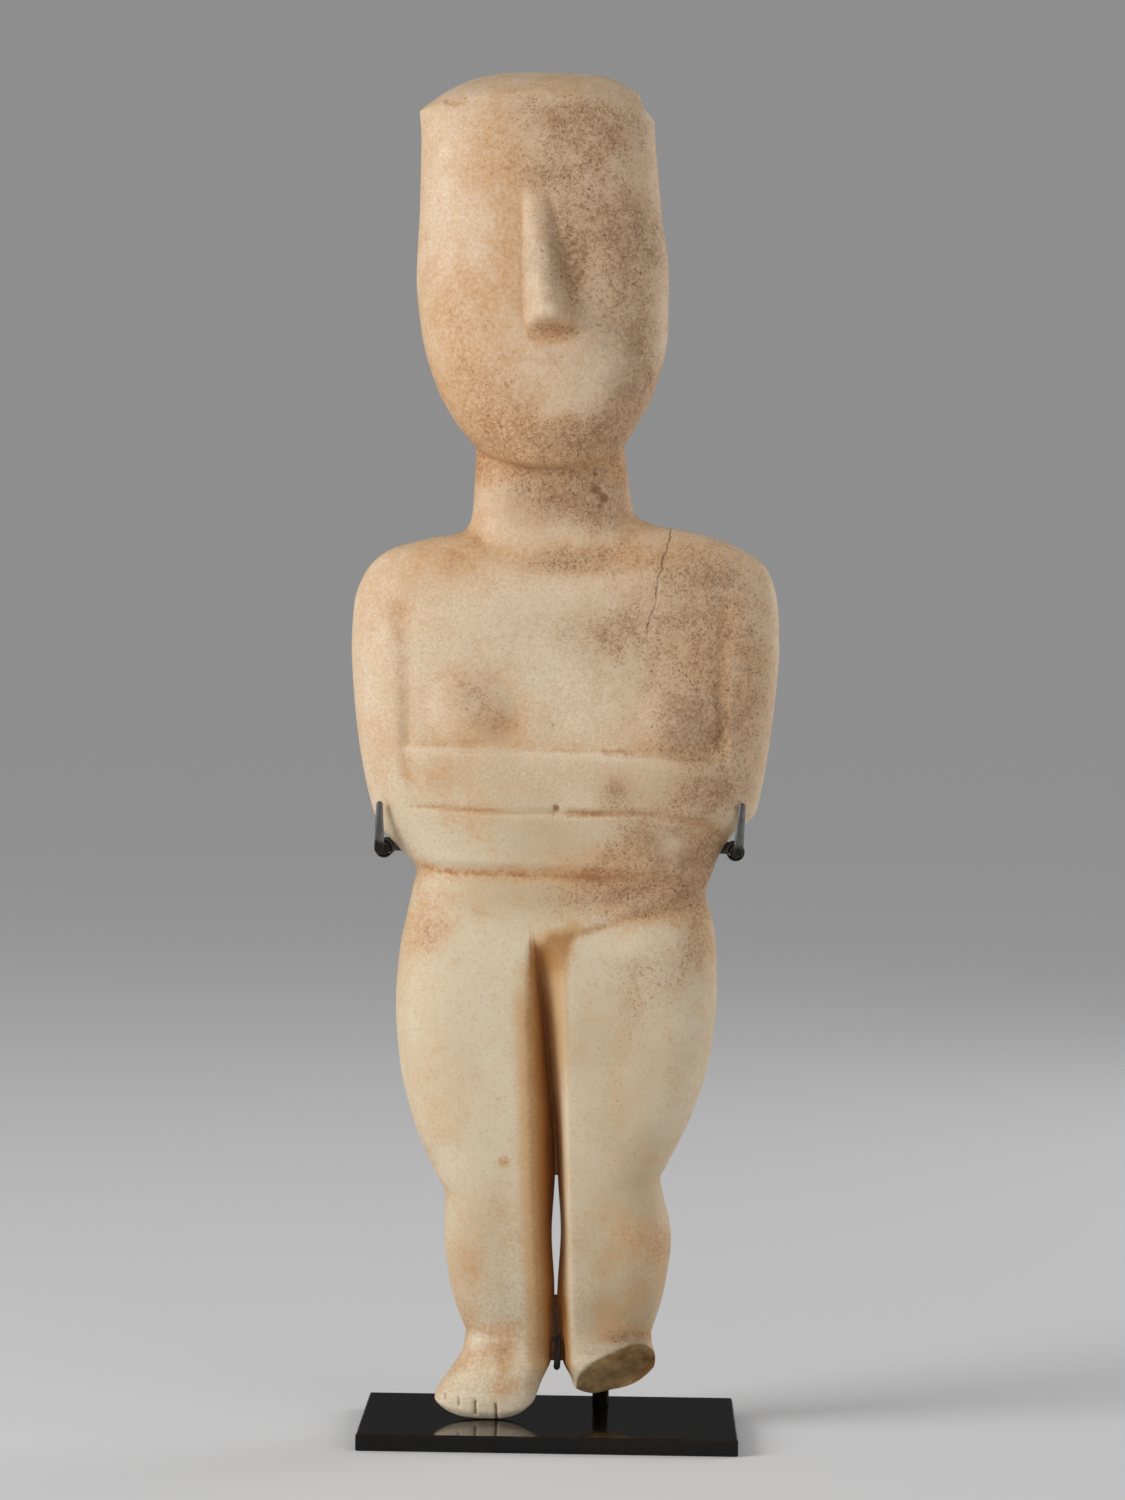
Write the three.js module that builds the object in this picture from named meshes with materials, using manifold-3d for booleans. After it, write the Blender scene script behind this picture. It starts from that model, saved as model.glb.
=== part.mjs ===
// A marble figure of a standing woman with folded arms, about 40 cm tall, held upright on a
// black plate by a thin steel support. Millimetres, +Z up. The front faces -Y, and the origin
// is the centre of the plate's underside.
import * as THREE from "three";
import { mergeVertices } from "three/addons/utils/BufferGeometryUtils.js";
import Module from "manifold-3d";

const wasm = await Module();
wasm.setup();

// The stand: a plate, a post behind the figure, and arms that reach forward under both elbows
// and between the feet, each ending in a finger that stands up in front of the stone.
const GAP = 0.3; // between pieces that touch
const PLATE = { width: 112, depth: 75, height: 5, chamfer: 0.4 };
const POST = { x: 15.4, y: 22.7, radius: 2.5, socket: 3, height: 186, sides: 16 };
const ARM = { radius: 1.9, bend: 6, sides: 12 };
const SLEEVE = { inner: ARM.radius + GAP, outer: 2.7, length: 20, sides: 14 };
const FINGER = { foot: 3, tip: 2, thick: 1.7, thin: 1.1 };
const ELBOW_HOOKS = {
  left: { x: -51.4, z: 175.2, front: -8.4, rise: 14.2, shift: -1.3, lean: -0.1 },
  right: { x: 53.5, z: 175.6, front: -8.6, rise: 14.7, shift: 0.7, lean: 1.1 },
};
const LOW_ARM = { radius: 1, bend: 3, sides: 8 };
const LOW_FINGER = { foot: 1.9, tip: 1.6, thick: 1.2, thin: 0.9 };
const LOW_HOOK = { x: 2.2, z: 19.8, front: 0.2, rise: 9.2, shift: 0, lean: 0.2 };

// The figure's sections from the crown down, as seen from the front: the left and right edges
// [x, z], how far the middle rises above them, and the depths (y) of the front, the edges and
// the back. The head sits a little to the left, and the crown slopes up to a crest behind.
const SECTIONS = [
  ["crest", [-43.9, 397.2], [25.4, 396.4], 14.4, 18.5, 8, 20.5],
  ["crown edge", [-44.2, 396], [26.2, 394.9], 7.5, -6.5, 7, 21],
  ["forehead", [-43.5, 386], [26.9, 386], 2.5, -11.5, 5, 20.5],
  ["brow", [-43.6, 368], [28.7, 368], 0, -14.5, 3.5, 19],
  ["cheeks", [-44.3, 347], [31.3, 347], -1, -17, 2.5, 17.5],
  ["mouth", [-42.6, 330], [31.3, 331], -2, -18.5, 2, 16],
  ["jaw", [-37.6, 313], [27.9, 314], -4, -19, 1, 15],
  ["lower jaw", [-30.8, 301.3], [21.9, 302], -5.6, -18.2, 1, 14],
  ["chin", [-26.3, 295.9], [18.7, 296.3], -6.2, -15.8, 1.5, 13.5],
  ["throat", [-25.7, 294.2], [18.9, 294.8], -6.3, -10.8, 1.5, 13.3],
  ["neck", [-26.1, 283.5], [20.4, 284], -5.5, -11, 1.5, 13.3],
  ["low neck", [-26.6, 275.6], [21.9, 276.8], -6, -11.6, 1.5, 14],
  ["neck foot", [-29.2, 270.3], [26.6, 273.4], -8, -12.6, 1.5, 15],
  ["shoulder top", [-40.5, 267.9], [40, 270.8], -8, -13.3, 1.5, 15.8],
  ["shoulder", [-51.5, 264.4], [53.4, 266.4], -6.5, -13.8, 1, 16.3],
  ["upper arm", [-58.5, 257.6], [61.9, 260.2], -3.5, -14.4, 1, 16.9],
  ["armpit", [-61.7, 248], [65.3, 249], -1.5, -15, 1, 17.3],
  ["chest", [-62.3, 236], [66, 237], 0, -15.3, 1, 17.3],
  ["breasts", [-61.2, 219], [64.8, 220], 0, -15.4, 1, 16.6],
  ["forearms", [-59.4, 205], [63, 205], 0, -15.4, 1, 16],
  ["low forearm", [-56.8, 192.3], [61, 193], 0, -15.2, 1, 15.6],
  ["elbow", [-54.2, 184], [59.4, 186.8], 0, -14.8, 1, 15.2],
  ["elbow foot", [-50.2, 178.3], [52.6, 180.4], 0, -14.4, 1, 15],
  ["flank", [-45.4, 173.2], [48.9, 174.6], -1, -14.2, 1, 15],
  ["waist", [-42.1, 168.6], [46.4, 168], -1, -14.2, 1, 15.4],
  ["hip fold", [-43.1, 163], [44.9, 162.4], 0, -15, 1, 16.2],
  ["hips", [-44.6, 155.4], [47, 155], 0, -15.6, 0.5, 17.4],
  ["crotch", [-46.6, 145], [48.3, 145.5], 0, -16, 0.5, 17.6],
  ["thighs", [-47.6, 129], [48.7, 132], 0, -16.8, 0, 16.6],
  ["low thighs", [-46.2, 112], [46.9, 114.5], 0, -17.2, -0.5, 14.5],
  ["above knees", [-42, 94.5], [41.6, 96.5], 0, -16.8, -1.5, 12],
  ["knees", [-35.2, 78.6], [34.4, 81.3], 0, -15.7, -1.2, 11.4],
  ["below knees", [-31.9, 70.5], [32.5, 76.6], 0, -14.8, -0.4, 12],
  ["calves", [-32.2, 58.5], [36, 59], 0, -12.2, 1.5, 14.2],
  ["low calves", [-29.8, 42], [34, 42.5], 0, -8.2, 3.5, 14.6],
  ["ankles", [-25.4, 30], [30.4, 30], 0, -4.4, 4.5, 13.6],
].map(([part, left, right, rise, front, rim, back]) => ({ part, left, right, rise, front, rim, back }));
const ANKLES = SECTIONS.length - 1;
const THROAT = SECTIONS.findIndex(({ part }) => part === "throat");

// Below the ankles each leg has its own sections: the outer and inner edges [x, z], how far the
// middle dips below them, the depths of the front, outer edge and back, and the front and back
// of the inner edge. The left foot is whole and hangs on its toes. The right one is broken off.
const FEET = {
  left: [
    ["ankle", [-26.4, 24.2], [0.4, 24.5], 0, -5, 5, 13.8, 2, 7.5],
    ["heel", [-29.4, 19], [0.3, 21.3], 0, -6.6, 3.5, 14.2, 2.5, 9],
    ["arch", [-32.3, 15.3], [-2.3, 15.6], 0.4, -8.4, 0.5, 9.5, 0, 7],
    ["ball", [-34.1, 12.2], [-3.7, 12], 1, -9.9, -2, 3, -3.2, 2.2],
    ["toes", [-34.3, 10.6], [-4.7, 10], 2.6, -10.2, -3.6, -2.4, -5, -2.2],
    ["toe tips", [-33.9, 9.9], [-5.4, 9.2], 4.25, -9, -4.8, -6.2, -5.8, -4.4],
  ],
  right: [
    ["ankle", [30.8, 26.5], [3.8, 24.5], 0, -4.4, 5, 13.6, 2, 7.5],
    ["heel", [31.6, 23.6], [4, 21.3], 0, -4.8, 5, 13.8, 2.5, 9],
    ["upper break", [31.8, 21.8], [6, 17.4], 1, -5, 5.4, 13, 1.5, 8.5],
    ["middle break", [31.7, 20.6], [6.8, 15.6], 2.4, -5, 6, 11.6, 1, 7.8],
    ["lower break", [31.6, 19.8], [7.1, 14.6], 3.7, -5, 6.4, 10.4, 0.6, 7],
    ["break foot", [31.4, 19.2], [7.4, 13.9], 4.7, -5, 6.6, 9.4, 0.3, 6.2],
  ],
};
const WEB_END = 2; // sections of the feet that the web between the legs still joins
const BREAK = { x: 15, y: -4.5, z: 24.1, backPerDrop: 0.95, backPerX: 0.6 }; // its plane

// Lines down the legs, as [z, value]: the edges of the web that joins the legs, and its depths.
const WEB = {
  left: [[22, 0.4], [41, 1.1], [60, 0.05], [78, 0.8], [110, -2.3], [139, -3.9], [152, -5]],
  right: [[22, 3.9], [41, 2], [60, 2.8], [78, 1.7], [110, 0.2], [139, -2.2], [152, -3.4]],
  front: [[20, 2.5], [80, -0.5], [112, -3.5], [134, -7], [144, -10.5], [151, -15.5]],
  back: [[20, 9], [40, 6.5], [110, 6], [140, 9], [165, 15.5]],
};
const CLEFT_TOP = 150.8; // where the groove between the thighs starts on the front
const SLIT = { top: 77.4, bottom: 41 }; // the opening through the web between the calves

// Carving on the front, with lines as [x, z].
const NOSE = { top: [-7.8, 371], tip: [-4.9, 333.5], height: 7.6, topWidth: 3.2, tipWidth: 7, under: 5 };
const BREASTS = { left: [-27, 216.5], right: [36.5, 215.5], radius: 12, height: 2.7 };
const FOREARM = { height: 1.5, edge: 1.6 };
const FOREARM_TOP = [[-43, 206.6], [0, 205.3], [20, 204.4], [46, 202]];
const FOREARM_MIDDLE = [[-43, 188.4], [-10, 186.6], [25, 186.8], [42, 184.6], [50, 181]];
const FOREARM_BOTTOM = [[-45, 171.6], [-34, 169.6], [0, 168.9], [20, 168.3], [46, 166]];
const GROOVES = [
  { line: [[-46.6, 247], [-47.8, 233], [-46, 206], [-42.5, 187]], depth: 1.3, width: 2.2 },
  { line: [[49.6, 250], [50, 237], [49.4, 219], [47.8, 205]], depth: 1.3, width: 2.2 },
  { line: [[-40, 166], [-26, 158.6], [-5, 151]], depth: 0.5, width: 1.5 },
  { line: [[5.7, 149.4], [19, 154.2], [31, 158], [43.5, 163.4]], depth: 1, width: 1.5 },
  { line: [[-27, 271], [-20, 264], [-8, 260.5], [6, 260.5], [17, 265], [24, 272]], depth: 0.6, width: 1.6 },
];
const BELLY = { line: GROOVES[3].line, height: 0.8 };

// Mesh density
const LEG_COLUMNS = 16; // across each leg, even
const WEB_COLUMNS = 4; // across the web, even
const COLUMNS = 2 * LEG_COLUMNS + WEB_COLUMNS;
const RIGHT_LEG = LEG_COLUMNS + WEB_COLUMNS; // the first column of the right leg
const BACK_STEP = 2; // the plainer back has every second column
const ROW_HEIGHT = 10;
const FINE_ROWS = [402, 396, 333, 329, 292, 269, 206, 203, 187, 169, 151, 147, 78, 41]; // heights
const FINE = { share: 0.32, reach: 2.2 }; // how many more rows there are near them, and how near
const FOOT_ROWS = 2; // in each section of the feet

const clamp = (v, lo, hi) => Math.min(hi, Math.max(lo, v));
const mix = (a, b, w) => a + (b - a) * w;

function smooth(w) {
  const t = clamp(w, 0, 1);
  return t * t * (3 - 2 * t);
}

// A smooth curve through values at 0, 1, 2 and so on that doesn't overshoot them.
function through(values, t) {
  const last = values.length - 1;
  const k = clamp(Math.floor(t), 0, last - 1);
  const rise = (i) => values[i + 1] - values[i];
  const slope = (i) => {
    if (i === 0) return rise(0);
    if (i === last) return rise(last - 1);
    const [a, b] = [rise(i - 1), rise(i)];
    return a * b <= 0 ? 0 : (2 * a * b) / (a + b);
  };
  const w = t - k;
  const w2 = w * w;
  const w3 = w2 * w;
  const ends = (2 * w3 - 3 * w2 + 1) * values[k] + (3 * w2 - 2 * w3) * values[k + 1];
  return ends + (w3 - 2 * w2 + w) * slope(k) + (w3 - w2) * slope(k + 1);
}

// The value at one place on a line of [place, value] pairs in rising order.
function along(line, place) {
  if (place <= line[0][0]) return line[0][1];
  const next = line.findIndex(([p]) => p >= place);
  if (next < 0) return line.at(-1)[1];
  const part = (place - line[next - 1][0]) / (line[next][0] - line[next - 1][0]);
  return through(line.map(([, value]) => value), next - 1 + part);
}

function distanceTo(line, x, z) {
  let nearest = Infinity;
  for (let i = 1; i < line.length; i++) {
    const [ax, az] = line[i - 1];
    const [dx, dz] = [line[i][0] - ax, line[i][1] - az];
    const w = clamp(((x - ax) * dx + (z - az) * dz) / (dx * dx + dz * dz), 0, 1);
    nearest = Math.min(nearest, Math.hypot(x - ax - w * dx, z - az - w * dz));
  }
  return nearest;
}

// 1 in the middle of a section and 0 at its edges, flatter in the middle for a larger power.
const swell = (u, power) => Math.sqrt(Math.max(0, 1 - Math.abs(u) ** power));

function nose(x, z) {
  const down = (NOSE.top[1] - z) / (NOSE.top[1] - NOSE.tip[1]);
  if (down < 0) return 0;
  const w = Math.min(down, 1);
  const side = Math.abs(x - mix(NOSE.top[0], NOSE.tip[0], w)) / mix(NOSE.topWidth, NOSE.tipWidth, w);
  const under = smooth((z - NOSE.tip[1] + NOSE.under) / NOSE.under);
  return side < 1 ? NOSE.height * w ** 0.9 * under * (1 - side ** 2.4) ** 0.9 : 0;
}

function breasts(x, z) {
  const bump = ([cx, cz]) => Math.max(0, 1 - (Math.hypot(x - cx, z - cz) / BREASTS.radius) ** 2) ** 1.3;
  const above = smooth((z - along(FOREARM_TOP, x)) / 3);
  return BREASTS.height * (bump(BREASTS.left) + bump(BREASTS.right)) * above;
}

// Two raised bands, one above the other, that end at the outer sides of the upper arms.
function forearms(x, z) {
  const [top, middle, bottom] = [FOREARM_TOP, FOREARM_MIDDLE, FOREARM_BOTTOM].map((line) => along(line, x));
  const band = (upper, lower) => smooth((upper - z) / FOREARM.edge) * smooth((z - lower) / FOREARM.edge);
  const ends = smooth((x + 62) / 16) * smooth((64 - x) / 14);
  return FOREARM.height * ends * (band(top, middle) + 0.9 * band(middle, bottom));
}

// The belly stands a little proud of the right thigh.
function belly(x, z) {
  const above = z - along(BELLY.line, x);
  const reach = smooth(above / 1.5) * smooth((14 - above) / 12);
  return BELLY.height * reach * smooth((x - 2) / 8) * smooth((47 - x) / 8);
}

function grooves(x, z) {
  const cut = ({ line, depth, width }) => depth * Math.exp(-((distanceTo(line, x, z) / width) ** 2));
  return GROOVES.reduce((sum, groove) => sum + cut(groove), 0);
}

const frontCarving = (x, z) => nose(x, z) + breasts(x, z) + forearms(x, z) + belly(x, z) - grooves(x, z);

// The spine, the insides of the arms and the fold under the buttocks.
function backCarving(x, z) {
  const side = Math.abs(x - 1);
  const line = (distance, width) => Math.exp(-((distance / width) ** 2));
  const spine = 1.2 * smooth((z - 165) / 12) * smooth((262 - z) / 20) * line(side, 2.2);
  const arms = 1.1 * smooth((z - 178) / 10) * smooth((250 - z) / 14) * line(side - 47, 2);
  const foldHeight = 149 - 3.5 * Math.cos(((side - 21) / 21) * (Math.PI / 2));
  const fold = 1.2 * smooth((40 - side) / 14) * line(z - foldHeight, 3);
  return -(spine + arms + fold);
}

// How full a leg is at x, and how far its inner side has rolled over to the web.
function legShape(x, outerLeft, webLeft, webRight, outerRight) {
  if (x >= webLeft && x <= webRight) return { full: 1, roll: 1 };
  const [outer, inner, power] = x < webLeft ? [outerLeft, webLeft, 3.2] : [outerRight, webRight, 5];
  const u = (2 * (x - outer)) / (inner - outer) - 1;
  return u < 0 ? { full: swell(u, 2.3), roll: 0 } : { full: 1, roll: 1 - swell(u, power) };
}

// Columns of the legs: close together at the edges of each leg and even across the web.
function legColumn(i, outerLeft, webLeft, webRight, outerRight) {
  const round = (k) => (1 - Math.cos((Math.PI * k) / LEG_COLUMNS)) / 2;
  if (i <= LEG_COLUMNS) return mix(outerLeft, webLeft, round(i));
  if (i >= RIGHT_LEG) return mix(webRight, outerRight, round(i - RIGHT_LEG));
  return mix(webLeft, webRight, (i - LEG_COLUMNS) / WEB_COLUMNS);
}

// A value of the sections at t, which counts them from the crown down.
function section(t, name, i) {
  return through(SECTIONS.map((s) => (i === undefined ? s[name] : s[name][i])), t);
}

// One row above the ankles, as points with a place across and up and two depths. From the hips
// down the one rounded trunk turns into two legs.
function bodyRow(t) {
  const [left, right] = ["left", "right"].map((side) => [section(t, side, 0), section(t, side, 1)]);
  const [rise, front, rim, back] = ["rise", "front", "rim", "back"].map((name) => section(t, name));
  const height = (left[1] + right[1]) / 2;
  const web = [along(WEB.left, height), along(WEB.right, height)];
  const split = smooth((200 - height) / 45);
  const trunkPower = t < THROAT ? 2.3 : 2.7;
  const points = [];
  for (let i = 0; i <= COLUMNS; i++) {
    const even = (2 * i) / COLUMNS - 1;
    const round = mix(even, Math.sin((even * Math.PI) / 2), 0.5);
    const x = mix(mix(left[0], right[0], (round + 1) / 2), legColumn(i, left[0], ...web, right[0]), split);
    const u = (2 * (x - left[0])) / (right[0] - left[0]) - 1;
    const arch = u < 0 ? 2.2 : t < 1.5 ? 4.5 : 2.4;
    const z = mix(left[1], right[1], (u + 1) / 2) + rise * (1 - Math.abs(u) ** arch);
    const { full, roll } = legShape(x, left[0], ...web, right[0]);
    const shape = mix(swell(u, trunkPower), full, smooth((182 - z) / 60));
    const inside = 1 - Math.abs(u) ** 8;
    const frontWeb = roll * smooth((CLEFT_TOP - z) / 2.5);
    const backWeb = roll * smooth((168 - z) / 14);
    points.push({
      x,
      z,
      front: mix(rim + (front - rim) * shape, along(WEB.front, z), frontWeb) - frontCarving(x, z) * inside,
      back: mix(rim + (back - rim) * shape, along(WEB.back, z), backWeb) + backCarving(x, z) * inside,
    });
  }
  return points;
}

// The broken face is a plane across the instep: no stone is left in front of it.
const brokenFace = (x, z) => BREAK.y + BREAK.backPerDrop * (BREAK.z - z) + BREAK.backPerX * (x - BREAK.x);

// The part of one row that belongs to a foot, from the left to the right. The sections are
// counted from the ankles, whose row gives the first one.
function footRow(side, t, anklesRow) {
  const leg = side === "left" ? anklesRow.slice(0, LEG_COLUMNS + 1) : anklesRow.slice(RIGHT_LEG).reverse();
  const [outer, inner] = [leg[0], leg.at(-1)];
  const { front, rim, back } = SECTIONS[ANKLES];
  const first = [outer.x, outer.z, inner.x, inner.z, 0, front, rim, back, inner.front, inner.back];
  const sections = [first, ...FEET[side].map(([, ...values]) => values.flat())];
  const [ox, oz, ix, iz, dip, y0, y1, y2, i0, i1] = first.map((_, n) => through(sections.map((s) => s[n]), t));
  const points = [];
  for (let k = 0; k <= LEG_COLUMNS; k++) {
    const u = -Math.cos((Math.PI * k) / LEG_COLUMNS);
    const x = mix(ox, ix, (u + 1) / 2);
    const z = mix(oz, iz, (u + 1) / 2) - dip * (1 - Math.abs(u) ** 3);
    const shape = swell(u, u < 0 ? 2.3 : side === "left" ? 3.2 : 5);
    const point = { x, z, front: y1 + (y0 - y1) * shape, back: y1 + (y2 - y1) * shape };
    point.front = Math.min(point.front, mix(point.front, i0, smooth(u)));
    point.back = Math.max(point.back, mix(point.back, i1, smooth(u)));
    if (side === "right") point.front = Math.max(point.front, Math.min(brokenFace(x, z), point.back - 1));
    points.push(point);
  }
  return side === "left" ? points : points.reverse();
}

// Rows of the body, closer together where there is fine carving.
function bodyRows() {
  const steps = 4000;
  const measured = [{ t: 0, total: 0 }];
  let last = null;
  for (let k = 0; k <= steps; k++) {
    const t = (ANKLES * k) / steps;
    const middle = (section(t, "left", 1) + section(t, "right", 1)) / 2 + section(t, "rise");
    const place = [section(t, "left", 0), section(t, "left", 1), section(t, "front"), middle];
    if (last) {
      const edge = Math.hypot(place[0] - last[0], place[1] - last[1]);
      const moved = Math.max(edge, Math.hypot(place[2] - last[2], place[3] - last[3]));
      const near = FINE_ROWS.map((z) => Math.exp(-(((middle - z) / FINE.reach) ** 2)));
      const density = 1 / ROW_HEIGHT + FINE.share * Math.max(...near);
      measured.push({ t, total: measured.at(-1).total + moved * density });
    }
    last = place;
  }
  const total = measured.at(-1).total;
  const count = Math.round(total);
  const rows = [];
  for (let k = 0; k <= count; k++) {
    rows.push(bodyRow(measured.find((m) => m.total >= (total * k) / count - 1e-9).t));
  }
  return rows;
}

function footRows(anklesRow) {
  const rows = [];
  for (let k = 1; k <= FEET.left.length * FOOT_ROWS; k++) {
    const [left, right] = ["left", "right"].map((side) => footRow(side, k / FOOT_ROWS, anklesRow));
    const web = [];
    for (let i = 1; i < WEB_COLUMNS; i++) {
      const blend = (name) => mix(left.at(-1)[name], right[0][name], i / WEB_COLUMNS);
      web.push({ x: blend("x"), z: blend("z"), front: blend("front"), back: blend("back") });
    }
    rows.push([...left, ...web, ...right]);
  }
  return rows;
}

// The figure as one closed mesh: a front sheet and a back sheet that share the outer edges, with
// walls round the slit between the calves and between the feet.
function figureGeometry() {
  const body = bodyRows();
  const ankles = body.length - 1;
  const rows = [...body, ...footRows(body[ankles])];
  const bottom = rows.length - 1;
  const webEnd = ankles + WEB_END * FOOT_ROWS;
  const offset = (row, z) => Math.abs(row[LEG_COLUMNS].z - z);
  const rowAt = (z) => body.reduce((best, row, j) => (offset(row, z) < offset(body[best], z) ? j : best), 0);
  const slit = { top: rowAt(SLIT.top), bottom: rowAt(SLIT.bottom) };
  const isOpen = (j, i) => {
    const inWeb = i >= LEG_COLUMNS && i < RIGHT_LEG;
    return inWeb && ((j >= slit.top && j < slit.bottom) || j >= webEnd);
  };

  const positions = [];
  const index = [];
  const known = new Map();
  const vertex = (j, i, face) => {
    const onRim = i === 0 || i === COLUMNS;
    const key = `${j} ${i} ${onRim ? "rim" : face}`;
    if (!known.has(key)) {
      const point = rows[j][i];
      known.set(key, positions.length / 3);
      positions.push(point.x, onRim ? (point.front + point.back) / 2 : point[face], point.z);
    }
    return known.get(key);
  };
  const triangle = (a, b, c) => a !== b && b !== c && c !== a && index.push(a, b, c);
  const quad = (a, b, c, d) => {
    triangle(a, b, c);
    triangle(a, c, d);
  };
  for (let j = 0; j < bottom; j++) {
    for (let i = 0; i < COLUMNS; i++) {
      if (isOpen(j, i)) continue;
      const [left, right] = [i, i + 1].map((k) => [vertex(j, k, "front"), vertex(j + 1, k, "front")]);
      quad(left[0], left[1], right[1], right[0]);
    }
    for (let i = 0; i < COLUMNS; i += BACK_STEP) {
      if (isOpen(j, i)) continue;
      const [left, right] = [i, i + BACK_STEP].map((k) => [vertex(j, k, "back"), vertex(j + 1, k, "back")]);
      quad(left[0], right[0], right[1], left[1]);
    }
    if (isOpen(j, LEG_COLUMNS)) {
      const [a, b] = [LEG_COLUMNS, RIGHT_LEG];
      quad(vertex(j, a, "front"), vertex(j + 1, a, "front"), vertex(j + 1, a, "back"), vertex(j, a, "back"));
      quad(vertex(j, b, "front"), vertex(j, b, "back"), vertex(j + 1, b, "back"), vertex(j + 1, b, "front"));
    }
  }
  // Joins the front and back sheets across some columns of one row, facing up or down.
  const close = (j, from, to, facing) => {
    for (let i = from; i < to; i += BACK_STEP) {
      const [f0, f1, f2] = [0, 1, 2].map((k) => vertex(j, i + k, "front"));
      const [b0, b2] = [vertex(j, i, "back"), vertex(j, i + BACK_STEP, "back")];
      for (const [a, b, c] of [[f0, f1, b0], [f1, b2, b0], [f1, f2, b2]]) {
        if (facing === "up") triangle(a, b, c);
        else triangle(a, c, b);
      }
    }
  };
  close(0, 0, COLUMNS, "up");
  close(slit.top, LEG_COLUMNS, RIGHT_LEG, "down");
  close(slit.bottom, LEG_COLUMNS, RIGHT_LEG, "up");
  close(webEnd, LEG_COLUMNS, RIGHT_LEG, "down");
  close(bottom, 0, LEG_COLUMNS, "down");
  close(bottom, RIGHT_LEG, COLUMNS, "down");
  return meshOf(positions, index);
}

function meshOf(positions, index) {
  const geometry = new THREE.BufferGeometry();
  geometry.setAttribute("position", new THREE.Float32BufferAttribute(positions, 3));
  geometry.setIndex(index);
  geometry.computeVertexNormals();
  return geometry;
}

function toSolid(geometry) {
  const bare = geometry.clone();
  bare.deleteAttribute("normal");
  bare.deleteAttribute("uv");
  const merged = mergeVertices(bare, 1e-4);
  const vertProperties = merged.getAttribute("position").array;
  const triVerts = new Uint32Array(merged.index.array);
  return new wasm.Manifold(new wasm.Mesh({ numProp: 3, vertProperties, triVerts }));
}

function fromSolid(solid) {
  const { vertProperties, triVerts } = solid.getMesh();
  return meshOf(vertProperties, [...triVerts]);
}

// A solid turned round an upright axis, from a profile of [radius, height] that runs upwards.
function turned(profile, sides) {
  const points = profile.map(([radius, height]) => new THREE.Vector2(radius, height));
  return new THREE.LatheGeometry(points, sides).rotateX(Math.PI / 2);
}

// A round bar that leaves the post sideways and bends forward to its end, all at one height.
function bentBar(hook, { radius, bend, sides }, end) {
  const outward = Math.sign(hook.x - POST.x);
  const [centreX, centreY] = [hook.x - outward * bend, POST.y - bend];
  const stations = [{ x: POST.x, y: POST.y, angle: 0 }];
  for (let k = 0; k <= 4; k++) {
    const angle = (k / 4) * (Math.PI / 2);
    stations.push({ x: centreX + outward * bend * Math.sin(angle), y: centreY + bend * Math.cos(angle), angle });
  }
  stations.push({ x: hook.x, y: end, angle: Math.PI / 2 });
  const positions = [];
  const index = [];
  for (const { x, y, angle } of stations) {
    for (let k = 0; k < sides; k++) {
      const turn = (2 * Math.PI * k) / sides;
      const across = radius * Math.cos(turn);
      positions.push(x + outward * Math.sin(angle) * across, y + Math.cos(angle) * across);
      positions.push(hook.z + radius * Math.sin(turn));
    }
  }
  const triangle = (a, b, c) => (outward > 0 ? index.push(a, b, c) : index.push(a, c, b));
  for (let s = 0; s < stations.length - 1; s++) {
    for (let k = 0; k < sides; k++) {
      const [a, b] = [s * sides + k, s * sides + ((k + 1) % sides)];
      triangle(a, b, b + sides);
      triangle(a, b + sides, a + sides);
    }
  }
  const lastRing = (stations.length - 1) * sides;
  for (let k = 1; k < sides - 1; k++) {
    triangle(0, k + 1, k);
    triangle(lastRing, lastRing + k, lastRing + k + 1);
  }
  return meshOf(positions, index);
}

// A flat finger, wide and thick at its round foot and narrower at its round tip.
function finger({ x, z, front, rise, shift, lean }, { foot, tip, thick, thin }) {
  const shape = new THREE.Shape();
  shape.absarc(0, 0, foot / 2, Math.PI, 2 * Math.PI, false);
  shape.absarc(lean, rise - tip / 2, tip / 2, 0, Math.PI, false);
  shape.closePath();
  const geometry = new THREE.ExtrudeGeometry(shape, { depth: thick, bevelEnabled: false, curveSegments: 5 });
  geometry.rotateX(Math.PI / 2);
  const position = geometry.getAttribute("position");
  for (let i = 0; i < position.count; i++) {
    const taper = mix(1, thin / thick, clamp(position.getZ(i) / rise, 0, 1));
    position.setY(i, position.getY(i) * taper);
  }
  return geometry.translate(x + shift, front, z);
}

function plateGeometry() {
  const { width, depth, height, chamfer } = PLATE;
  const [w, d] = [width / 2 - chamfer, depth / 2 - chamfer];
  const outline = new THREE.Shape([[-w, -d], [w, -d], [w, d], [-w, d]].map((p) => new THREE.Vector2(...p)));
  const slab = new THREE.ExtrudeGeometry(outline, {
    depth: height - 2 * chamfer,
    bevelThickness: chamfer,
    bevelSize: chamfer,
    bevelSegments: 1,
  }).translate(0, 0, chamfer);
  const hole = POST.radius + GAP;
  const floor = height - POST.socket - GAP;
  const socket = turned([[0, floor], [hole, floor], [hole, height + 1], [0, height + 1]], POST.sides);
  return fromSolid(toSolid(slab).subtract(toSolid(socket.translate(POST.x, POST.y, 0))));
}

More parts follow.
